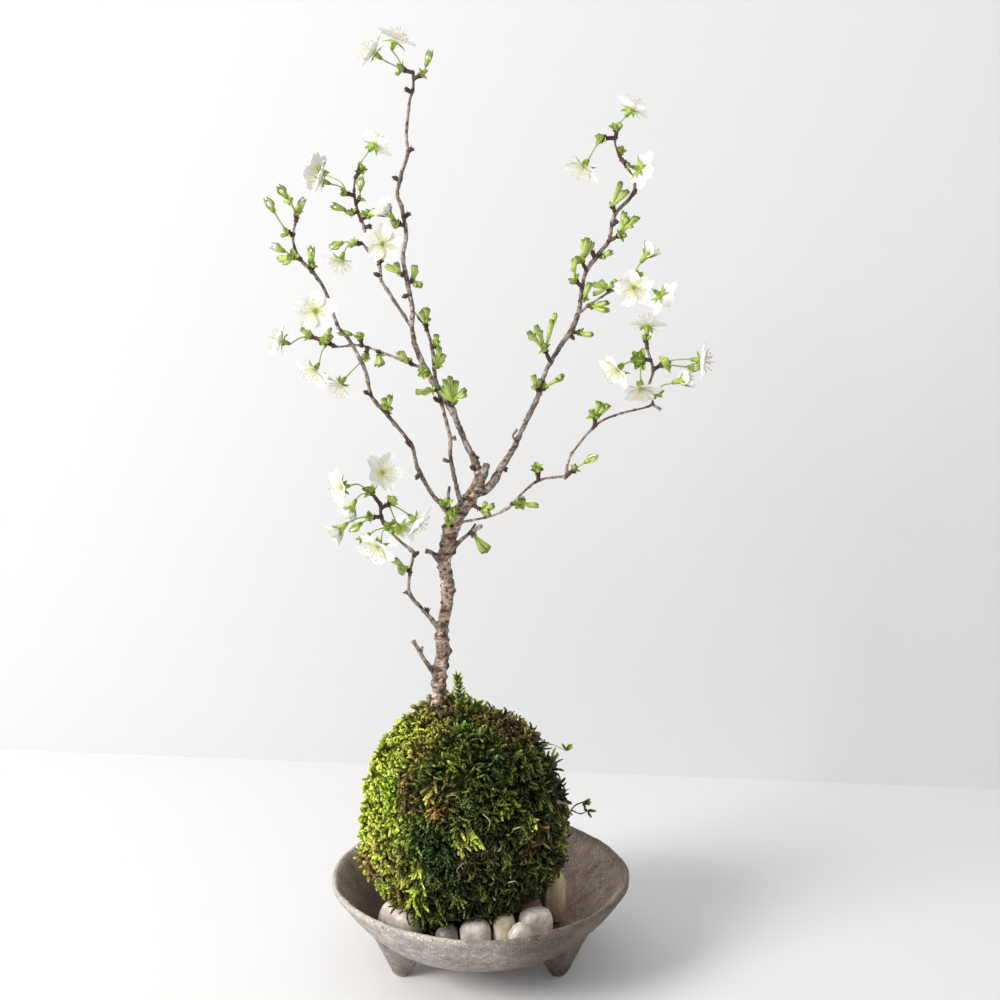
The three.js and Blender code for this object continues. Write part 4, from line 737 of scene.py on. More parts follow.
def add_scales(shape, start, top, rng, count=7, open_by=0.5):
    """The wrinkled brown foot of a spur, with bud scales round its top."""
    axis = unit(top - start)
    length = float(np.linalg.norm(top - start))
    share = np.linspace(0, 1, 8)
    radii = (1.15 - 0.25 * share) * (1 + 0.12 * np.cos(share * 5 * TAU)) * np.where(share > 0.9, 0.6, 1)
    points, faces, _ = tube(start + axis * (share * length)[:, None], radii, 9)
    points = points + 0.16 * rough(points, 0.8, 4)[:, None]
    shape.add(points, faces, blend(SCALE_DARK, SCALE_RED, 0.5 + 0.7 * rough(points, 1.2, 8)))
    for i in range(count):
        out = turned(*ways_round(axis), i * SCALE_TURN + rng.uniform(0, 0.6))
        along = turned(out, axis, 1.35 - rng.uniform(0.2, 1.3) * open_by)
        size = rng.uniform(*SCALE_LENGTHS)
        points, faces, share = blade(size, size * 0.75, 3, 2, foot=0.25, round_tip=0.97, cup=0.25, bend=-0.12)
        origin = top - axis * rng.uniform(0.3, 0.8) * min(length, 3) + out * 0.75
        up = unit(np.cross(np.cross(along, axis), along))
        tint = blend(SCALE_DARK, blend(SCALE_RED, SCALE_TAN, rng.random()), share)
        shape.add(placed(points, origin, along, up), faces, tint)


def add_brown_bud(shape, start, end, rng):
    """A pointed bud of brown scales on the wood."""
    share = np.linspace(0, 1, 9)
    radii = BUD_RADIUS * np.interp(share, *BROWN_BUD_FORM)
    points, faces, _ = tube(start + (end - start) * share[:, None], radii, 9)
    points = points + 0.15 * rough(points, 0.9, 6)[:, None]
    shape.add(points, faces, blend(SCALE_DARK, SCALE_RED, 0.4 + 0.7 * rough(points, 1.0, 7)))
    add_scales(shape, start + (end - start) * 0.2, start + (end - start) * 0.7, rng, 5, 0.15)


def add_bracts(shape, top, axis, count, length, rng):
    """Small green leaves in a rosette, cupped and rounded."""
    for i in range(count):
        out = turned(*ways_round(axis), i * TAU / count + rng.uniform(-0.3, 0.3))
        along = turned(out, axis, BRACT_RISE + rng.uniform(-0.25, 0.5))
        size = length * rng.uniform(0.8, 1.12)
        points, faces, share = blade(size, size * rng.uniform(0.55, 0.72), 6, 4, foot=0.12, round_tip=0.88,
                                     cup=0.34, bend=rng.uniform(-0.2, 0.3), notch=0.05)
        fold = np.tile(np.abs(np.linspace(-1, 1, 5)), 7)
        folded = 0.6 * fold * share + 0.15 * rng.random()
        rim = 0.8 * (fold > 0.9) * share + 0.6 * (share > 0.9)
        tint = blend(blend(GREEN_PALE, GREEN_BRIGHT, share * 2), GREEN_MID, folded)
        origin = top + out * 0.3 - axis * 0.4
        shape.add(placed(points, origin, along, axis), faces, blend(tint, GREEN_DEEP, rim))


def add_club(shape, path, tip, rng, size=1.0):
    """A young shoot: a thin stalk that swells into a club of folded leaves with a blunt end."""
    sides = 10
    middle = path[-1] + (tip - path[-1]) * 0.55 + [0, 0, -0.3]
    line = smooth_run([*path, middle, tip], 0.6)
    length = np.concatenate([[0], np.cumsum(np.linalg.norm(np.diff(line, axis=0), axis=1))])
    share = length / length[-1]
    thick = rng.uniform(1.3, 1.65) * size
    radius = np.interp(share, *CLUB_FORM) * thick
    ridge = 1 + 0.17 * np.cos(steps_round(sides) * 5)
    radii = radius[:, None] * (1 + (ridge - 1) * clamp(share * 2 - 0.6)[:, None])
    points, faces, _ = tube(line, radii, sides)
    share = per_point(share, sides)
    furrow = np.concatenate([np.tile(ridge, len(line)), [1, 1]])
    tint = blend(GREEN_MID, GREEN_BRIGHT, share * 1.8)
    # Paler on the ridges as painted highlight, and darker in the furrows as painted shade; the blunt end is
    # darker too.
    tint = blend(tint, GREEN_PALE, 0.5 * (share > 0.4) * (furrow > 1.05))
    deep = np.clip(share * 5 - 4.1, 0, 0.8) + 0.5 * (furrow < 0.9) * share
    shape.add(points, faces, blend(tint, GREEN_DEEP, deep))
    axis = unit(tip - line[-3])
    for i in range(3):
        way = turned(*ways_round(axis), i * TAU / 3 + rng.uniform(0, 1))
        points, faces, _ = blade(rng.uniform(1.6, 2.5), 1.7 * size, 3, 2, foot=0.3, round_tip=0.94,
                                 cup=0.2, bend=0.1)
        origin = tip - axis * rng.uniform(1.4, 2.6) + way * thick * 0.75
        leaf = placed(points, origin, unit(axis + 0.22 * way), -way)
        shape.add(leaf, faces, blend(GREEN_DEEP, GREEN_BRIGHT, rng.random()))


def add_stalk(shape, points):
    """A thin green stalk along a smooth curve."""
    line = smooth_run(points, 0.9)
    share = np.linspace(0, 1, len(line))
    radii = STALK_RADIUS * (1.15 - 0.3 * np.sin(share * math.pi))
    shape.add_tube(line, radii, 8, blend(GREEN_MID, GREEN_STALK, per_point(share, 8)))


def add_calyx(shape, end, direction, length, spread, rng, sepal=SEPAL_SIZE):
    """A green bell with five narrow sepals, spread by an angle from its axis."""
    share, radii = np.array(CALYX_FORM)
    along = per_point(share, 10)
    tint = blend(blend(GREEN_DEEP, GREEN_MID, along * 3), GREEN_BRIGHT, along - 0.4)
    shape.add_tube(end + direction * (share * length)[:, None], radii, 10, tint)
    for i in range(PETAL_COUNT):
        out = turned(*ways_round(direction), TAU * (PETAL_TURN + SEPAL_TURN + i / PETAL_COUNT))
        along = turned(direction, out, spread + rng.uniform(-0.15, 0.15))
        points, faces, tip = blade(sepal[0] * rng.uniform(0.85, 1.1), sepal[1], foot=0.25, round_tip=0.95,
                                   cup=0.25, bend=-0.07 * spread)
        origin = end + direction * length * 0.93 + out * 1.15
        tint = blend(blend(GREEN_BRIGHT, GREEN_MID, tip * 2), SCALE_RED, 2.4 * tip - 1.9)
        shape.add(placed(points, origin, along, direction), faces, tint)


def add_petals(shape, seat, direction, lift, rng, size=1.0):
    """A ring of notched, softly waved petals, lifted by an angle from a flat ring."""
    for i in range(PETAL_COUNT):
        out = turned(*ways_round(direction), TAU * (PETAL_TURN + i / PETAL_COUNT) + rng.uniform(-0.06, 0.06))
        rise = lift + rng.uniform(-0.1, 0.12)
        along, up = turned(out, direction, rise), turned(direction, -out, rise)
        points, faces, _ = blade(PETAL_LENGTH * size * rng.uniform(0.95, 1.04), PETAL_WIDTH * size, 9, 8,
                                 foot=0.07, round_tip=0.84, cup=0.055, bend=rng.uniform(-0.1, 0.02),
                                 notch=0.1)
        share = points[:, 1] / PETAL_LENGTH
        points[:, 2] += 0.28 * np.sin(points[:, 0] * 1.7 + rng.uniform(0, 6)) * share**2
        points[:, 2] += 0.18 * np.sin(share * 7 + rng.uniform(0, 6)) * share
        # Painted shadow: rays of the heart's tint near the base of each petal's edges, where the sepals lie
        # behind it. The heart itself is the flower's own colour.
        sepal_shadow = clamp(1.5 - 2.8 * share) * clamp(2.6 * np.abs(points[:, 0]) / PETAL_WIDTH - 0.25)
        tint = blend(blend(PETAL_HEART_AND_SHADOW, WHITE, share * 3.6), PETAL_HEART_AND_SHADOW, 0.75 * sepal_shadow)
        shape.add(placed(points, seat + out * PETAL_START, along, up), faces, tint)


def add_stamens(shape, seat, direction, widest, rng, count=24):
    """Fine pale stamens with ochre tips round a green style."""
    for i in range(count + 1):
        is_style = i == count
        tilt = 0.03 if is_style else widest * math.sqrt((i + 0.7) / count)
        out = turned(*ways_round(direction), i * STAMEN_TURN + rng.uniform(-0.3, 0.3))
        length = STYLE_LENGTH if is_style else rng.uniform(*STAMEN_LENGTHS)
        share = np.linspace(0, 1, 5)[:, None]
        lean = turned(direction, out, tilt)
        line = seat + out * (0 if is_style else 0.85) + lean * share * length
        line = line + (direction * 0.5 - out * 0.5 * tilt) * (share * (1 - share)) * 2
        radius, tint = (STYLE_RADIUS, STYLE) if is_style else (STAMEN_RADIUS, FILAMENT)
        shape.add_tube(line, np.full(5, radius), 4, tint)
        tip = line[-1] + lean * ANTHER_FORM[0][:, None]
        tint = STIGMA if is_style else blend(ANTHER_DARK, ANTHER_PALE, rng.random())
        shape.add_tube(tip, ANTHER_FORM[1], 5, tint)


class Growth:
    """The shapes that a spray fills, or all of the tree's spurs together."""

    def __init__(self):
        self.green, self.scales, self.white, self.stamens = Shape(), Shape(), Shape(), Shape()
        self.blooms = []


def add_shoot(growth, top, entry, rng):
    """One shoot of a spur: a leaf cluster, a bud or a flower, along its own way."""
    kind, target, *via = entry
    path = np.array([top, *[at(reading) for reading in via]])
    end = path[-1]
    if kind == "leaf":
        reach = at(target) - end
        add_club(growth.green, path, at(target), rng)
        for _ in range(2):
            way = reach * rng.uniform(0.55, 0.8) + rng.normal(0, 0.22, 3) * np.linalg.norm(reach)
            add_club(growth.green, path[-1:], end + way, rng, rng.uniform(0.8, 1.0))
    elif kind == "bud":
        add_bud(growth, path, at(target), rng)
    else:
        add_flower(growth, path, unit(np.array(target, float)), kind == "half", rng)


def add_bud(growth, path, tip, rng):
    """A closed white bud that stands out of a long calyx, with its tip at a place."""
    direction = unit(tip - path[-1])
    start = tip - direction * BUD_LENGTH
    add_stalk(growth.green, [*path, start] if len(path) > 1 else [path[0], (path[0] + start) / 2, start])
    add_calyx(growth.green, start, direction, BUD_CALYX, rng.uniform(-0.04, 0.12), rng, BUD_SEPAL_SIZE)
    share = np.linspace(0, 1, 8)
    radii = WHITE_BUD_RADIUS * np.sin(math.pi * (0.12 + 0.85 * share)) ** 0.8
    path = start + direction * (BUD_HIDDEN + share * (BUD_LENGTH - BUD_HIDDEN))[:, None]
    growth.white.add_tube(path, radii, 12, blend(BUD_GREEN, WHITE, per_point(share, 12) * 1.6))


def add_flower(growth, path, direction, half_open, rng):
    """An open or half-open flower at the end of a stalk, facing a direction."""
    end = path[-1]
    if len(path) > 1:
        add_stalk(growth.green, [*path, end + direction * 0.6])
    seat = end + direction * CALYX_LENGTH
    if half_open:
        add_calyx(growth.green, end, direction, CALYX_LENGTH - 0.4, HALF_OPEN_SEPALS, rng)
        add_petals(growth.white, seat - direction * 0.6, direction, HALF_OPEN_LIFT, rng, HALF_OPEN_SIZE)
        add_stamens(growth.stamens, seat - direction * 0.4, direction, HALF_OPEN_STAMENS, rng, 14)
        return
    add_calyx(growth.green, end, direction, CALYX_LENGTH - 0.2, OPEN_SEPALS, rng)
    bloom = Shape()
    add_petals(bloom, seat + direction * 0.1, direction, OPEN_LIFT, rng)
    growth.blooms.append(bloom)
    add_stamens(growth.stamens, seat, direction, OPEN_STAMENS, rng)


def grow(entry, seed, growth):
    """A spur or spray: its scaly foot, its leaves and all its shoots."""
    root, crown, (count, length), *shoots = entry
    rng = np.random.default_rng(seed)
    top = at(crown)
    start = in_wood(at(root))
    axis = unit(top - start)
    add_scales(growth.scales, start, top, rng)
    if not count:
        add_bracts(growth.green, top, axis, *FEWEST_BRACTS, rng)
    else:
        add_bracts(growth.green, top, axis, count + 1, length, rng)
        for _ in range(count // 2 + 1):
            way = unit(axis + 0.75 * unit(rng.normal(size=3)))
            add_club(growth.green, top[None], top + way * length * rng.uniform(0.7, 1.05), rng, 0.72)
    for shoot in shoots:
        add_shoot(growth, top, shoot, rng)
    return growth


# Moss
def in_ball(direction):
    """How far the ball reaches from its centre along a direction."""
    upright = np.where(direction[:, 2] > 0, BALL_UP, BALL_DOWN)
    stretch = np.abs(direction) / np.stack([np.full(len(upright), BALL_SIDE)] * 2 + [upright], axis=1)
    reach = np.sum(stretch**BALL_BOXINESS, axis=1) ** (-1 / BALL_BOXINESS)
    for way, rise in BULGES:
        reach = reach + rise * np.exp(-np.sum((direction - way) ** 2, axis=1) / BULGE_SPREAD)
    return reach


DOWN = np.array([0, 0, -1.0])

# The moss's tints
VIVID, LIME, OLIVE = (0.36, 0.6, 0.03), (0.64, 0.76, 0.11), (0.2, 0.245, 0.04)
MOSS_DARK, MOSS_MID, DEEP = (0.033, 0.045, 0.012), (0.11, 0.155, 0.024), (0.036, 0.085, 0.026)
MOSS_LOW_SHADE, MOSS_TIP_AND_HIGHLIGHT = (0.05, 0.035, 0.022), (0.36, 0.45, 0.15)
YELLOW, ORANGE = (0.58, 0.52, 0.13), (0.5, 0.25, 0.07)
RUST, BROWN_RED = (0.26, 0.13, 0.06), (0.2, 0.08, 0.055)
# Patches of one colour on the ball: [x, y, z, radius, tint]
PATCHES = [
    [-61, -11, 83, 16, LIME], [-56, -27, 76, 14, LIME], [-55, -12, 104, 13, LIME],
    [-52, -22, 113, 8, LIME], [-46, -30, 115, 4.5, VIVID], [-46, -33, 110, 4.5, VIVID],
    [-45, -36, 104, 4.5, VIVID], [-51, -34, 84, 5, YELLOW], [-35, -33, 120, 5, BROWN_RED],
    [-37, -36, 114, 5.5, BROWN_RED], [-36, -41, 106, 5, BROWN_RED], [-59, -21, 65, 7, ORANGE],
    [-43, -42, 73, 6.5, RUST], [-56, -24, 59, 6, BROWN_RED], [-34, -47, 73, 5, LIME],
    [-33, -47, 64, 6, LIME], [-20, -48, 104, 3.4, ORANGE], [-6, -50, 98, 3.6, LIME],
    [-7, -52, 92, 3.4, YELLOW], [-11, -51, 94, 3, VIVID], [1, -52, 82, 5, BROWN_RED],
    [16, -5, 131, 8, BROWN_RED], [23, 10, 127, 8, RUST], [9, 0, 132, 7, RUST], [-2, 0, 134, 6, RUST],
    [16, -14, 129, 6, BROWN_RED], [30, 0, 124, 7, BROWN_RED], [5, -10, 132, 5, RUST],
    [-24, -5, 135, 7, RUST], [-17, -11, 135, 6.5, BROWN_RED], [-36, 8, 130, 8, YELLOW],
    [-40, 8, 127, 7, LIME], [-34, -17, 129, 9, LIME], [-27, -17, 131, 8, YELLOW],
    [-38, -22, 125, 10, LIME], [-31, -26, 127, 5, RUST], [-17, -42, 116, 6, BROWN_RED],
    [5, -34, 123, 9, MOSS_DARK], [5, -50, 95, 11, MOSS_DARK], [18, -46, 98, 8, MOSS_DARK],
    [13, -50, 67, 10, MOSS_DARK], [-20, -52, 84, 8, DEEP], [-33, -48, 86, 7, DEEP],
    [8, -31, 125, 6, DEEP], [-23, -40, 117, 6, DEEP], [19, -40, 109, 3, LIME], [13, -44, 106, 3, LIME],
    [-13, -36, 123, 4, LIME], [25, 14, 128, 5, LIME], [42, -20, 93, 6, OLIVE], [46, -13, 84, 5, YELLOW],
    [44, -19, 77, 5, YELLOW], [30, -40, 86, 6, RUST], [-4, 12, 136, 7, VIVID], [-13, 10, 136, 6, LIME],
    [-22, 48, 88, 9, DEEP], [12, 48, 100, 7, RUST], [27, 40, 72, 9, LIME], [-44, 34, 104, 7, YELLOW],
    [-12, 38, 122, 8, OLIVE], [42, 24, 62, 7, BROWN_RED], [-40, 38, 66, 8, MOSS_DARK],
    [2, 52, 66, 8, VIVID],
]


def moss_tint(places, rng):
    """A colour for the moss at each place: the patches over a drift from lime on the left to dark, with
    painted light on the left side and painted shade on the right side and at the bottom.
    """
    across, back, height = places.T
    wander = 14 * rough(places, 24, 44, 2) * ramp(back, 0, 15)
    left = clamp((wander - 30 - across) / 18) * np.clip((height - 30) / 35, 0.15, 1)
    # Painted shade: darker on the right side, away from the lamp
    shaded = ramp(across, -12, 33) * ramp(height, 122, 102)
    tint = blend(MOSS_MID, MOSS_DARK, 0.6 + 0.9 * rough(places, 16, 41, 2) + 0.6 * shaded)
    tint = blend(tint, LIME, left * (0.75 + 0.5 * rough(places, 7, 43)))
    tint = blend(tint, OLIVE, 0.6 * ramp(height, 108, 124))
    for *middle, radius, colour in PATCHES:
        gap = np.linalg.norm(places - middle, axis=1) / radius
        tint = blend(tint, colour, 1.15 * np.exp(-gap**2) * rng.uniform(0.6, 1, len(places)))
    # Painted shade: the ball darkens towards its bottom
    tint = blend(tint, MOSS_LOW_SHADE, 0.6 * ramp(height, 48, 26))
    tint = tint * (1 + SUNLIT * ramp(across, -12, -36) - SHADED * shaded)[:, None]
    return tint * (0.55 + 0.9 * rng.random((len(places), 1)) ** 1.4)


def pressed_in(places):
    """How far the pebbles in front press the ball in at each place, from 0 to 1."""
    across, back, height = places.T
    top = PEBBLE_TOP + 2.5 * rough(places, 7, 66) - 0.9 * np.clip(-17 - across, 0, 14)
    return clamp((top - height) / PRESSED_BAND) * (back < -14) * (across > -42)


def drawn_up(places):
    """How far the moss is drawn up round the foot of the trunk at each place, in millimetres."""
    x, y, _ = at(TRUNK_FOOT[2])
    gap = np.hypot(places[:, 0] - x - 1, places[:, 1] - y) / MOUND_RADIUS
    return MOUND * np.exp(-gap**2) * (places[:, 2] > BALL_CENTRE[2])


def make_bed():
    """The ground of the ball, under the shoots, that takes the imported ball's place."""
    lift = np.linspace(-0.98, 1, BED_ROWS) * math.pi / 2
    turn = steps_round(BED_COLUMNS)
    lift, turn = np.meshgrid(lift, turn, indexing="ij")
    ways = np.stack([np.cos(lift) * np.cos(turn), np.cos(lift) * np.sin(turn), np.sin(lift)], axis=-1)
    ways = ways.reshape(-1, 3)
    reach = in_ball(ways)
    pressed = PRESSED_DEPTH * pressed_in(BALL_CENTRE + ways * reach[:, None])
    reach = reach - BED_DEPTH + 1.3 * rough(ways * 50, 5, 51, 3) - pressed
    points = BALL_CENTRE + ways * reach[:, None]
    points[:, 2] = np.maximum(points[:, 2] + drawn_up(points), BALL_FLOOR)
    bed = Shape()
    # Painted shade: the bed keeps only a share of the moss's tint.
    tint = moss_tint(points, np.random.default_rng(BED_SEED)) * BED_SHADE
    bed.add(points, [grid_faces(BED_ROWS, BED_COLUMNS, True)], tint)
    return bed


def shoot_template(whorls, leaf_length, leaf_width, tilt):
    """A shoot of moss: whorls of three leaves pressed to a line, smaller towards both ends.

    Gives points across the line, faces, shares along the line and how far each point rises beyond it.
    """
    points, faces, along, leafy = [], [], [], []
    for whorl in range(whorls):
        share = (whorl + 0.35) / whorls
        size = math.sin(math.pi * (0.2 + 0.68 * share)) ** 0.6
        for leaf in range(3):
            out = level_way(leaf * TAU / 3 + whorl * 1.05)
            side = np.cross([0, 0, 1], out)
            reach = leaf_length * size * math.sin(tilt)
            rise = leaf_length * size * math.cos(tilt)
            half = leaf_width * size
            count = len(points)
            middle = out * (reach * 0.7 - 0.18)
            points += [out * 0.12, middle + side * half, out * reach, middle - side * half]
            along += [share, share, share, share]
            leafy += [0, rise * 0.45, rise, rise * 0.45]
            faces += [[count, count + 1, count + 2], [count, count + 2, count + 3]]
    return np.array(points), np.array(faces), np.array(along), np.array(leafy)


LONG_SHOOT = shoot_template(whorls=9, leaf_length=1.5, leaf_width=0.62, tilt=0.46)
SMALL_SHOOT = shoot_template(whorls=4, leaf_length=1.7, leaf_width=0.66, tilt=0.6)


def scattered(count, rng):
    """Places over the ball with the directions that they face."""
    index = np.arange(count) + 0.5
    rise = 1 - 2 * index / count
    turn = index * SHOOT_TURN + rng.uniform(-0.5, 0.5, count)
    flat = np.sqrt(1 - rise * rise)
    ways = np.stack([flat * np.cos(turn), flat * np.sin(turn), rise], axis=1)
    ways = unit(ways + rng.normal(0, 0.012, (count, 3)))
    places = BALL_CENTRE + ways * in_ball(ways)[:, None]
    kept = (places[:, 2] > BALL_FLOOR + 1.5) & (pressed_in(places) < 0.5)
    return places[kept], ways[kept]


def lay_shoots(template, root, lean, side, tall, thick, curl, base, rng):
    """Shoots that each run from a root along their lean and curl towards their side."""
    points, faces, along, leafy = template
    ahead = along[None] * tall[:, None] + leafy[None] * thick[:, None]
    bend = (ahead * curl[:, None])[..., None]
    curl = curl[:, None, None]
    lean, side = lean[:, None], side[:, None]
    spots = root[:, None] + (lean * np.sin(bend) + side * (1 - np.cos(bend))) / curl
    out = side * np.cos(bend) - lean * np.sin(bend)
    around = out * points[None, :, :1] + np.cross(lean, side) * points[None, :, 1:2]
    spots = spots + around * thick[:, None, None]
    spots[..., 2] = np.maximum(spots[..., 2], BALL_FLOOR + 0.2)
    # Painted shade: each shoot darkens towards its root. Towards its tips and its leaves' ends it lightens,
    # partly as young growth and partly as painted highlight.
    tips = clamp((along - 0.15) / 0.85)[None, :, None] ** 1.2
    edge = (leafy / leafy.max())[None, :, None]
    tint = base[:, None] * (0.12 + 1.15 * tips + 1.1 * edge * tips)
    # A few shoots get a pale tint, most at their tips: partly pale shoots, partly painted highlight.
    pale = rng.random((len(root), 1)) ** 7
    tint = tint + (np.array(MOSS_TIP_AND_HIGHLIGHT) * pale)[:, None] * (0.1 + 0.9 * tips)
    shapes = []
    share = MOST_FACES // len(faces)
    for start in range(0, len(root), share):
        some = slice(start, start + share)
        starts = np.arange(len(root[some])) * len(points)
        shape = Shape()
        shape.add(spots[some].reshape(-1, 3), [(faces[None] + starts[:, None, None]).reshape(-1, 3)],
                  tint[some].reshape(-1, 3))
        shapes.append(shape)
    return shapes


def make_shoots(template, count, length, sink, seed):
    """Shoots over the ball that lie along it, droop and curl, in several pieces."""
    rng = np.random.default_rng(seed)
    places, ways = scattered(count, rng)
    many = len(places)
    flank = ramp(places[:, 0], -40, -52)
    top = ramp(places[:, 2], 112, 126)
    low = ramp(places[:, 2], 62, 32)
    tall = rng.uniform(*length, many) * np.where(rng.random(many) < 0.12, 1.4, 1) * (1 - 0.42 * flank)
    swirl = np.stack([rough(places, 7, draw) for draw in (62, 63, 64)], axis=1)
    outward = (0.34 + 0.3 * flank + 0.3 * top)[:, None]
    droop = (0.6 - 0.35 * flank - 0.6 * top)[:, None]
    lean = ways * outward + DOWN * droop + swirl * 0.9
    lean = unit(lean + rng.normal(0, 0.45, ways.shape))
    rise = np.sum(lean * ways, axis=1)
    lean = unit(lean + ways * np.maximum(0.1 - rise, 0)[:, None])
    side = rng.normal(size=lean.shape) + DOWN * 0.5 - ways * 0.5
    side = square_part(side, lean)
    thick = rng.uniform(0.8, 1.25, many) * (1 + 0.15 * flank)
    curl = rng.uniform(0.07, 0.3, many) * np.where(rng.random(many) < 0.3, 1.6, 1)
    clump = rough(places, 9, 61, 2)
    down = sink - TOP_SINK * top - 0.8 * flank + 0.8 * low - 1.5 * clump
    root = places - ways * down[:, None]
    root[:, 2] += drawn_up(places)
    return lay_shoots(template, root, lean, side, tall, thick, curl, moss_tint(places, rng), rng)


def on_ball(x, z, lift=0.5):
    """The place on the viewer's side of the ball at a width and height, lifted from it."""
    low, high = 0.0, 80.0
    for _ in range(30):
        y = (low + high) / 2
        spot = np.array([x, -y, z]) - BALL_CENTRE
        inside = np.linalg.norm(spot) < in_ball(unit(spot)[None])[0]
        low, high = (y, high) if inside else (low, y)
    return np.array([x, -low - lift, z])


# Tufts of longer shoots: [x, z, tip x, tip z, shoots, tint]
FIR, SPRIG_LOW, SPRIG_TIP = (0.17, 0.3, 0.05), (0.2, 0.3, 0.05), (0.42, 0.5, 0.1)
TUFTS = [
    [-11, 131, -9, 145, 9, FIR], [-5, 131, -1, 144, 8, FIR], [-15, 131, -16, 143, 7, FIR],
    [2, 130, 6, 139, 6, OLIVE], [-27, 132, -28, 142, 6, OLIVE], [-8, 96, -4, 86, 9, LIME],
    [-2, 93, 2, 84, 6, LIME], [-11, 90, -7, 80, 8, YELLOW], [-20, 106, -24, 98, 7, ORANGE],
    [-31, 92, -37, 84, 6, OLIVE], [-38, 70, -42, 61, 7, YELLOW], [-30, 64, -34, 56, 9, LIME],
    [-33, 58, -31, 50, 8, LIME], [12, 84, 16, 76, 6, OLIVE], [24, 99, 28, 90, 7, LIME],
    [22, 96, 20, 88, 6, OLIVE], [30, 88, 33, 79, 5, RUST], [33, 104, 38, 97, 5, OLIVE],
    [-14, 62, -12, 53, 6, OLIVE], [-48, 76, -53, 68, 6, YELLOW], [-42, 58, -45, 50, 6, RUST],
    [-22, 114, -27, 108, 6, YELLOW], [34, 70, 37, 61, 6, OLIVE], [-38, 122, -43, 127, 6, LIME],
    [18, 120, 24, 126, 6, OLIVE], [-30, 50, -29, 41, 8, OLIVE], [-38, 54, -38, 44, 7, RUST],
    [-24, 48, -22, 38, 7, OLIVE], [-27, 128, -31, 134, 6, YELLOW], [36, 112, 42, 118, 5, OLIVE],
    [-52, 104, -58, 108, 4, LIME], [40, 80, 43, 73, 6, OLIVE], [38, 66, 40, 58, 5, RUST],
]
# Bare stems and roots on the ball: [start, middle, end, tint, radius], each place an [x, z, lift]
DARK_STEM, RED_STEM, TAN_STEM = (0.045, 0.028, 0.02), (0.22, 0.11, 0.08), (0.3, 0.22, 0.15)
PALE_STEM, SPRIG_STEM = (0.36, 0.35, 0.17), (0.13, 0.14, 0.04)
LITTER_DARK, LITTER_PALE = (0.05, 0.03, 0.02), (0.24, 0.14, 0.09)
STEMS = [
    [[-19, 94, 0.5], [-14, 95.5, 2.6], [-11, 98.5, 2], DARK_STEM, 0.4],
    [[-60, 63, 0], [-54, 60, 2], [-49, 56, 0.5], RED_STEM, 0.35],
    [[2, 103, 1], [5.5, 100, 2.6], [4.5, 95.5, 1.6], PALE_STEM, 0.3],
    [[17, 94, 0.8], [21, 95, 2.8], [24, 91, 1.6], PALE_STEM, 0.32],
    [[14, 66, 0.8], [18, 67, 2.6], [20, 63.5, 1.8], PALE_STEM, 0.34],
    [[-24, 100, 0.6], [-21, 103, 2.2], [-17, 102, 1], TAN_STEM, 0.28],
    [[40, 98, 2], [45, 93, 7], [47, 86, 5], TAN_STEM, 0.75],
    [[34, 54, 1], [38, 53.5, 4], [42.5, 54.5, 4.5], DARK_STEM, 0.45],
    [[43, 82, 1], [49, 87, 5], [56, 92, 7], DARK_STEM, 0.5],
    [[48, 86, 5], [53, 84, 5.5], [57, 85.5, 5], TAN_STEM, 0.45],
    [[-36, 48, 1], [-37, 43, 4], [-36, 38, 5], DARK_STEM, 0.5],
    [[-50, 68, 1], [-57, 67, 3], [-62, 69, 3], RED_STEM, 0.4],
    [[-49, 65, 1], [-55, 62, 4], [-60, 63, 4], RED_STEM, 0.45],
    [[33, 121, 0], [39, 122, 4], [45, 119.5, 6], PALE_STEM, 0.35],
    [[-8, 79, 0.8], [-11, 75.5, 2.2], [-9, 72, 1], TAN_STEM, 0.26],
    [[-16, 111, 0.8], [-12, 112, 2.4], [-9, 109, 1.4], TAN_STEM, 0.26],
    [[-31, 50, 1], [-31, 44, 4], [-30, 38, 4], DARK_STEM, 0.5],
]
# Where bare stems end in a few leaves: [x, z, lift]
TWIG_ENDS = [[55, 91, 7], [57, 85.5, 5], [45, 120, 6]]


def make_tufts():
    """Longer shoots that stand out on the ball in tufts, and those of the small fir-like sprig."""
    # A row for each shoot: place, lean, length, thickness, curl and tint
    rng = np.random.default_rng(TUFT_SEED)
    rows = []
    for x, z, lift in TWIG_ENDS:
        for _ in range(6):
            lean = unit(rng.normal(size=3) + [1.2, 0, 0.5])
            rows.append([*on_ball(x, z, lift), *lean, rng.uniform(2.5, 4.5), 1.1, 0.12, *OLIVE])
    for x, z, tip_x, tip_z, count, tint in TUFTS:
        start, tip = on_ball(x, z, -1.5), on_ball(tip_x, tip_z, 2.0)
        for _ in range(count):
            lean = unit(tip - start + rng.normal(0, 2.6, 3))
            spot = start + rng.normal(0, 1.8, 3) * [1, 0.4, 1]
            form = rng.uniform(6.5, 10), rng.uniform(1.15, 1.5), rng.uniform(0.03, 0.16)
            rows.append([*spot, *lean, *form, *(np.array(tint) * rng.uniform(0.6, 1.15))])
    for i, spot in enumerate(smooth_run(with_radii(SPRIG)[:, :3], 1.1)[6:]):
        for leaf in range(3):
            lean = unit(level_way(leaf * TAU / 3 + i * 1.2) + [0, 0, 0.7 + 0.02 * i])
            tint = blend(SPRIG_LOW, SPRIG_TIP, i / 24 + 0.4 * rng.random())
            rows.append([*spot, *lean, (5.6 - 0.1 * i) * rng.uniform(0.7, 1.15), 0.8, 0.08, *tint])
    rows = np.array(rows)
    lean = rows[:, 3:6]
    side = unit(np.cross(lean, rng.normal(size=lean.shape)) + DOWN * 0.3)
    side = square_part(side, lean)
    return lay_shoots(LONG_SHOOT, rows[:, :3], lean, side, *rows[:, 6:9].T, rows[:, 9:], rng)


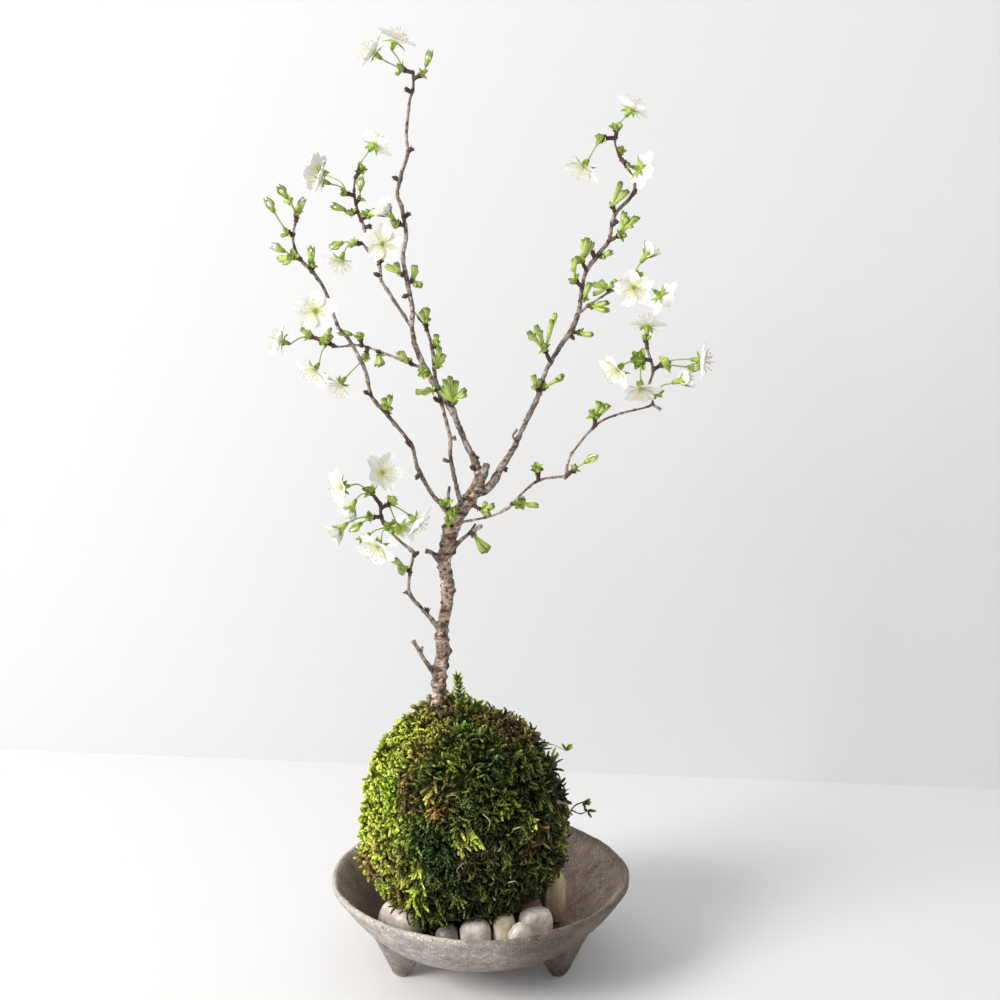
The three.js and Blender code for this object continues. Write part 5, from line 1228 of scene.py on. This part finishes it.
def make_stems():
    """The sprig's stem, roots and bare stems on the ball, and the litter round the trunk."""
    rng = np.random.default_rng(STEM_SEED)
    stems = Shape()
    line = smooth_run(with_radii(SPRIG), 0.8)
    stems.add_tube(line[:, :3], line[:, 3], 6, SPRIG_STEM)
    for first, middle, last, tint, radius in STEMS:
        line = smooth_run([on_ball(*first), on_ball(*middle), on_ball(*last)], 0.5)
        points, faces, _ = tube(line, radius * np.linspace(1.1, 0.6, len(line)), 7)
        points = points + 0.3 * radius * rough(points, 1.2, 92)[:, None]
        stems.add(points, faces, np.array(tint) * (1 + 0.4 * rough(points, 2, 93))[:, None])
    trunk = np.array([at(reading) for reading in TRUNK_FOOT])[1:3].mean(axis=0)
    for _ in range(LITTER):
        way = unit(trunk + level_way(rng.uniform(0, TAU)) * rng.uniform(4, 14) - BALL_CENTRE)
        spot = BALL_CENTRE + way * (in_ball(way[None])[0] + rng.uniform(-1.5, 2))
        spot[2] += drawn_up(spot[None])[0]
        half = unit(rng.normal(size=3) * [1, 1, 0.5]) * rng.uniform(0.8, 2.2)
        path = np.array([spot - half, spot + [0, 0, 0.4], spot + half])
        radii = rng.uniform(0.2, 0.5) * np.array([1, 0.9, 0.5])
        stems.add_tube(path, radii, 5, blend(LITTER_DARK, LITTER_PALE, rng.random()))
    return stems


# Dish, pebbles and soil
STONE_MID, STONE_LIGHT, STONE_DARK = (0.15, 0.115, 0.095), (0.48, 0.445, 0.41), (0.07, 0.05, 0.04)
INSIDE_LOW_SHADE, INSIDE_TINT, INSIDE_STREAK = (0.2, 0.125, 0.095), (0.54, 0.42, 0.35), (0.2, 0.095, 0.07)
BARE_CLAY = (0.5, 0.42, 0.34)


def painted_left_light(tint, places, most=1.0):
    """The clay's tint made paler on the dish's left side, as painted light from the lamp on that side."""
    share = clamp(0.45 - places[:, 0] / 55 + 0.5 * rough(places, 18, 82, 3))
    return blend(tint, STONE_LIGHT, most * share * clamp(0.75 + 0.4 * rough(places, 2.5, 83, 2)))


def make_dish():
    """The turned bowl with its ridges, dipping rim, painted light and shade, and streaks, on its feet."""
    sides = 180
    inner = smooth_run(DISH_INSIDE, 1.5)
    outline = np.concatenate([smooth_run(DISH_OUTSIDE, 1.2), smooth_run(DISH_LIP, 0.5), inner])
    turn = steps_round(sides)
    radius, height = outline[:, :1], outline[:, 1:]
    share = (radius / DISH_RADIUS) ** 4
    wide = radius * (1 - RIM_PINCH * share * np.sin(2 * turn) ** 2)
    tall = height - RIM_DIP * share * np.cos(turn) ** 2
    spots = np.stack([wide * np.cos(turn), wide * np.sin(turn), tall], axis=-1).reshape(-1, 3)
    across, back, height = spots.T
    ridge = np.sin(height * 1.9 + 0.6 * rough(spots, 30, 71)) * 0.1
    lump = 0.35 * rough(spots, 14, 72, 2) + 0.12 * rough(spots, 2.5, 73, 2)
    out = unit(spots * [1, 1, 0] + 1e-6)
    points = spots + out * ((ridge + lump) * ramp(np.hypot(across, back), 0, 30))[:, None]
    lip = clamp((height - LIP_FROM) / LIP_BAND)
    points[:, 2] += lip * 0.3 * rough(spots, 9, 74, 2)
    # Painted light: the clay is paler on the left side.
    tint = painted_left_light(blend(STONE_MID, STONE_DARK, 0.3 + 0.7 * rough(spots, 11, 75, 3)), spots)
    is_inside = np.repeat(np.arange(len(outline)) > len(outline) - len(inner) - 4, sides)
    # Inside, the tint is painted darker low down as shade, and lighter higher up and towards the right, which
    # faces the lamp, as painted light.
    high = ramp(height + 0.1 * across, 20, 42)
    inside = blend(INSIDE_LOW_SHADE, INSIDE_TINT, high + 0.25 * rough(spots, 12, 84, 2))
    tint = tint + (inside - tint) * (0.92 * is_inside)[:, None]
    # The lip is darker towards the right and paler towards the left: partly its own tone, partly painted
    # shade and painted light.
    tint = blend(tint, STONE_DARK, 0.75 * lip * clamp(0.4 + across / 110))
    lip_pale_and_lit = np.clip(0.5 - across / 110, 0.12, 1) * (0.7 + 0.9 * rough(spots, 3, 76, 2))
    tint = blend(tint, STONE_LIGHT, lip * lip_pale_and_lit)
    streak = clamp(rough(spots * [1, 1, 0.12], 3, 77, 2) * 1.3) * is_inside
    dish = Shape()
    dish.add(points, [grid_faces(len(outline), sides, True)], blend(tint, INSIDE_STREAK, 0.55 * streak))
    for angle in FOOT_ANGLES:
        add_foot(dish, math.radians(angle))
    return dish


def add_foot(dish, angle):
    """A foot that spreads from a small sole and runs out along the underside of the bowl."""
    sides = 60
    out = level_way(angle)
    across = np.cross([0, 0, 1], out)
    profile = smooth_run(FOOT_PROFILE, 0.7)
    turn = steps_round(sides)[None, :, None]
    share = (profile[:, 1:] / profile[-1, 1])[:, None]
    middle = FOOT_CIRCLE + FOOT_SPLAY * share
    ring = profile[:, :1, None] * (np.cos(turn) * out + np.sin(turn) * across) + out * middle
    spots = ring.reshape(-1, 3)
    share, middle = np.repeat(share.ravel(), sides), np.repeat(middle.ravel(), sides)
    underside = smooth_run(DISH_OUTSIDE, 1.2).T
    follow = np.interp(np.hypot(spots[:, 0], spots[:, 1]), *underside) - np.interp(middle, *underside)
    spots[:, 2] = np.repeat(profile[:, 1], sides) + share * follow
    sideways = unit((spots - out * FOOT_CIRCLE) * [1, 1, 0] + 1e-6)
    points = spots + sideways * (0.35 * rough(spots, 4, 78, 2) * clamp(spots[:, 2]))[:, None]
    points = np.concatenate([points, [out * FOOT_CIRCLE]])
    sole = fan(np.arange(sides), len(points) - 1)
    # Painted light: the feet are paler on the left side too.
    tint = painted_left_light(blend(STONE_MID, STONE_DARK, 0.5 + 0.5 * rough(points, 4, 79, 2)), points, 0.5)
    bare = clamp(1.3 - points[:, 2]) * clamp(0.7 + rough(points, 4, 80))
    dish.add(points, [grid_faces(len(profile), sides, True), sole], blend(tint, BARE_CLAY, 0.8 * bare))


PEBBLE_TINTS = {
    "pebble_pink": ((0.6, 0.48, 0.42), (0.8, 0.72, 0.66)),
    "pebble_grey": ((0.13, 0.12, 0.105), (0.3, 0.28, 0.25)),
    "pebble_white": ((0.5, 0.44, 0.38), (0.76, 0.72, 0.67)),
    "pebble_cream": ((0.55, 0.44, 0.31), (0.78, 0.69, 0.55)),
    "pebble_brown": ((0.09, 0.045, 0.035), (0.17, 0.1, 0.08)),
}
PEBBLE_TONES = ["pink", "grey", "white", "cream", "white", "white", "cream", "brown", "white", "pink", "grey"]
STAINED_PEBBLE, BOXY_PEBBLE = "pebble_07", "pebble_05"
# The powers that the stones' corners follow, higher for fuller ones
SOLID_POWER, PEBBLE_POWER, BOXY_POWER = 2.9, 3.6, 7.0
STAIN, BOTTOM_TONE = (0.46, 0.44, 0.13), (0.24, 0.16, 0.11)
STAIN_DEPTH = 9


def read(items, field, width=1, kind=np.int32):
    """One field of all the points, corners or faces of a mesh."""
    values = np.empty(len(items) * width, kind)
    items.foreach_get(field, values)
    return values


def rounded(name, node):
    """A solid's own mesh, welded and smoothed: its points in millimetres, and its faces."""
    mesh = node.data.copy()
    for attribute in list(mesh.color_attributes):
        mesh.color_attributes.remove(attribute)
    mesh.materials.clear()
    source = put(name, mesh)
    source.matrix_world = node.matrix_world
    weld = source.modifiers.new("weld", "WELD")
    weld.merge_threshold = 0.02 * MM
    for kind, count in (("SIMPLE", 1), ("CATMULL_CLARK", 2)):
        level = source.modifiers.new(kind.lower(), "SUBSURF")
        level.subdivision_type = kind
        level.levels = level.render_levels = count
    fine = bpy.data.meshes.new_from_object(source.evaluated_get(bpy.context.evaluated_depsgraph_get()))
    points = read(fine.vertices, "co", 3, np.float32).reshape(-1, 3)
    points = points @ np.array(source.matrix_world.to_3x3()).T + np.array(source.matrix_world.translation)
    bpy.data.objects.remove(source)
    corners, counts = read(fine.loops, "vertex_index"), read(fine.polygons, "loop_total")
    starts = np.cumsum(counts) - counts
    faces = [corners[starts[counts == size][:, None] + np.arange(size)] for size in np.unique(counts)]
    return (points - DISH_AXIS) / MM, faces


def make_pebble(name, node, slot, seed):
    """The solid's own form with fuller corners, rounded and roughened."""
    points, faces = rounded(name, node)
    centre = points.mean(axis=0)
    share = (points - centre) @ np.linalg.eigh(np.cov((points - centre).T))[1]
    share = np.abs(share / np.abs(share).max(axis=0))
    power = BOXY_POWER if name == BOXY_PEBBLE else PEBBLE_POWER
    solid, fuller = (np.sum(share**bend, axis=1) ** (1 / bend) for bend in (SOLID_POWER, power))
    points = centre + (points - centre) * (solid / fuller)[:, None]
    grit = 0.28 * rough(points, 4, seed, 2) + 0.08 * rough(points, 1.1, seed + 3, 2)
    points = points + unit(points - centre) * grit[:, None]
    low, high = PEBBLE_TINTS[slot]
    vein = clamp(1 - np.abs(rough(points + seed, 6, seed + 5, 2)) * 7)
    tint = blend(high, low, 0.45 + 0.7 * rough(points, 5, seed + 6, 3))
    tint = blend(tint, np.array(low) * 0.75, 0.5 * vein)
    bottom, height = points[:, 2].min(), np.ptp(points[:, 2])
    # Darker towards the bottom.
    tint = blend(tint, BOTTOM_TONE, 0.6 * clamp(1 - (points[:, 2] - bottom) / (0.6 * height)))
    if name == STAINED_PEBBLE:
        top = clamp((points[:, 2] - points[:, 2].max() + STAIN_DEPTH) / STAIN_DEPTH)
        tint = blend(tint, STAIN, 1.3 * top * (0.7 + 0.6 * rough(points, 3, 90, 2)))
    pebble = Shape()
    pebble.add(points, faces, tint)
    pebble.piece(name + "_stone", PEBBLE, slot, [name])


# The whole plant
def make_blooms(blooms, first):
    """Puts open blooms in the place of the solids' ones, counting on. Gives the next number."""
    for number, bloom in enumerate(blooms, first):
        bloom.piece(f"bloom_{number:02d}_petals", PETAL, "petal", [f"bloom_{number:02d}"])
    return first + len(blooms)


def make_tree():
    """The wood, the leafy spurs and brown buds on it, the sprays and the open blooms."""
    make_wood().piece("tree_wood", BARK, "bark", ["tree"])
    on_tree = Growth()
    for i, spur in enumerate(SPURS):
        grow(spur, SPUR_SEED + i, on_tree)
    for i, (root, tip) in enumerate(BUDS):
        add_brown_bud(on_tree.scales, in_wood(at(root)), at(tip), np.random.default_rng(BUD_SEED + i))
    on_tree.scales.piece("tree_scales", SCALES, "bark")
    on_tree.green.piece("tree_greens", GREEN, "green")
    on_tree.white.piece("tree_bud_petals", PETAL, "petal")
    on_tree.stamens.piece("tree_stamens", STAMEN, "green")
    number = 1
    for i, spray in enumerate(SPRAYS):
        label = f"spray_{i + 1:02d}"
        growth = grow(spray, SPRAY_SEED + i, Growth())
        growth.green.piece(label + "_greens", GREEN, "green", [label])
        growth.scales.piece(label + "_scales", SCALES, "bark")
        if growth.white.size:
            growth.white.piece(label + "_petals", PETAL, "petal")
        if growth.stamens.size:
            growth.stamens.piece(label + "_stamens", STAMEN, "green")
        number = make_blooms(growth.blooms, number)
    make_blooms(on_tree.blooms, number)


def make_ball():
    """The moss in its pieces: the bed, the shoots over it, tufts and bare stems."""
    make_bed().piece("moss_bed", GROUND, "moss", ["moss_ball"])
    number = 0
    for template, count, length, sink in [(LONG_SHOOT, LONG_COUNT, LONG_LENGTH, LONG_SINK),
                                          (SMALL_SHOOT, SMALL_COUNT, SMALL_LENGTH, SMALL_SINK)]:
        for shape in make_shoots(template, count, length, sink, SEED + number):
            number += 1
            shape.piece(f"moss_shoots_{number}", MOSS, "moss", smooth=False)
    for shape in make_tufts():
        shape.piece("moss_tufts", MOSS, "moss", smooth=False)
    make_stems().piece("moss_stems", BARK, "moss")


def stand():
    """Makes every piece of the plant."""
    make_dish().piece("dish_ware", STONEWARE, "stoneware", ["dish"])
    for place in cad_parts["soil_ball"].material_slots:
        place.link = "OBJECT"
        place.material = SOIL
    for i, name in enumerate(sorted(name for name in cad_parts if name.startswith("pebble_"))):
        make_pebble(name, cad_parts[name], "pebble_" + PEBBLE_TONES[i], 100 + 7 * i)
    make_ball()
    make_tree()


# The room, in metres: a pale floor and wall, soft light from the left
WALL_BACK, WALL_SLANT = 0.264, -0.105
ROOM_SIZE = 3.0
FLOOR_TINT, WALL_TINT = (0.785, 0.785, 0.79), (0.7, 0.7, 0.71)
ROOM_MOTTLE, ROOM_LUMP = 0.015, 250
WORLD_LIGHT = 0.53
# Lamps: name, place, target, size, power and tint
LAMPS = [
    ["key", (-1.82, -1.08, 1.4), (0.15, 0, 0.05), 1.0, 60, (1.0, 0.985, 0.96)],
    ["fill", (0.3, -1.6, 0.9), (0, 0, 0.2), 1.2, 1.5, (0.97, 0.985, 1.0)],
]


def make_room():
    """The floor and the wall that meets it at a slight slant."""
    left = (-ROOM_SIZE, WALL_BACK - WALL_SLANT * ROOM_SIZE)
    right = (ROOM_SIZE, WALL_BACK + WALL_SLANT * ROOM_SIZE)
    floor = [(-ROOM_SIZE, -ROOM_SIZE, 0), (ROOM_SIZE, -ROOM_SIZE, 0), (*right, 0), (*left, 0)]
    wall = [(*left, 0), (*right, 0), (*right, ROOM_SIZE), (*left, ROOM_SIZE)]
    for name, points, tint in [("floor", floor, FLOOR_TINT), ("wall", wall, WALL_TINT)]:
        mesh = bpy.data.meshes.new(name)
        mesh.from_pydata(points, [], [(0, 1, 2, 3)])
        finish = Finish(name)
        mixed = finish.add("Mix")
        mixed.data_type = "RGBA"
        darker = [value * (1 - ROOM_MOTTLE) for value in tint]
        finish.feed(mixed, Factor=finish.noise(ROOM_LUMP, 3), A=(*darker, 1), B=(*tint, 1))
        finish.feed(finish.shader, Roughness=0.9, Base_Color=mixed.outputs["Result"])
        if name == "wall":
            make_one_sided(finish)
        mesh.materials.append(finish.material)
        made = put(name, mesh)


def make_one_sided(finish):
    """Leaves out a surface's rear side, so that the wall hides nothing of the plant from behind."""
    sides = finish.add("MixShader", Fac=finish.add("NewGeometry").outputs["Backfacing"])
    front, rear = finish.shader, finish.add("BsdfTransparent")
    finish.tree.links.new(front.outputs["BSDF"], sides.inputs[1])
    finish.tree.links.new(rear.outputs["BSDF"], sides.inputs[2])
    finish.feed(finish.tree.nodes["Material Output"], Surface=sides.outputs["Shader"])


def add_area(name, place, target, size, power, tint):
    data = bpy.data.lights.new(name, "AREA")
    data.shape = "RECTANGLE"
    data.size = data.size_y = size
    data.energy = power
    data.color = tint
    made = put(name, data)
    made.location = place
    made.rotation_euler = (Vector(target) - Vector(place)).to_track_quat("-Z", "Y").to_euler()


def light():
    world = bpy.data.worlds.new("room")
    world.use_nodes = True
    shader = world.node_tree.nodes["Background"]
    shader.inputs["Color"].default_value = (1.0, 1.0, 1.0, 1)
    shader.inputs["Strength"].default_value = WORLD_LIGHT
    bpy.context.scene.world = world
    for lamp in LAMPS:
        add_area(*lamp)


def aim():
    data = bpy.data.cameras.new("camera")
    data.lens = LENS
    data.sensor_width = SENSOR
    data.clip_start = 0.01
    camera = put("camera", data)
    camera.location = Vector(EYE * MM + DISH_AXIS)
    camera.rotation_euler = (math.radians(90 - EYE_PITCH), 0, 0)
    bpy.context.scene.camera = camera


stand()
make_room()
light()
aim()
settings = bpy.context.scene.view_settings
settings.view_transform = "Standard"
settings.look = "None"
settings.exposure = 0.0
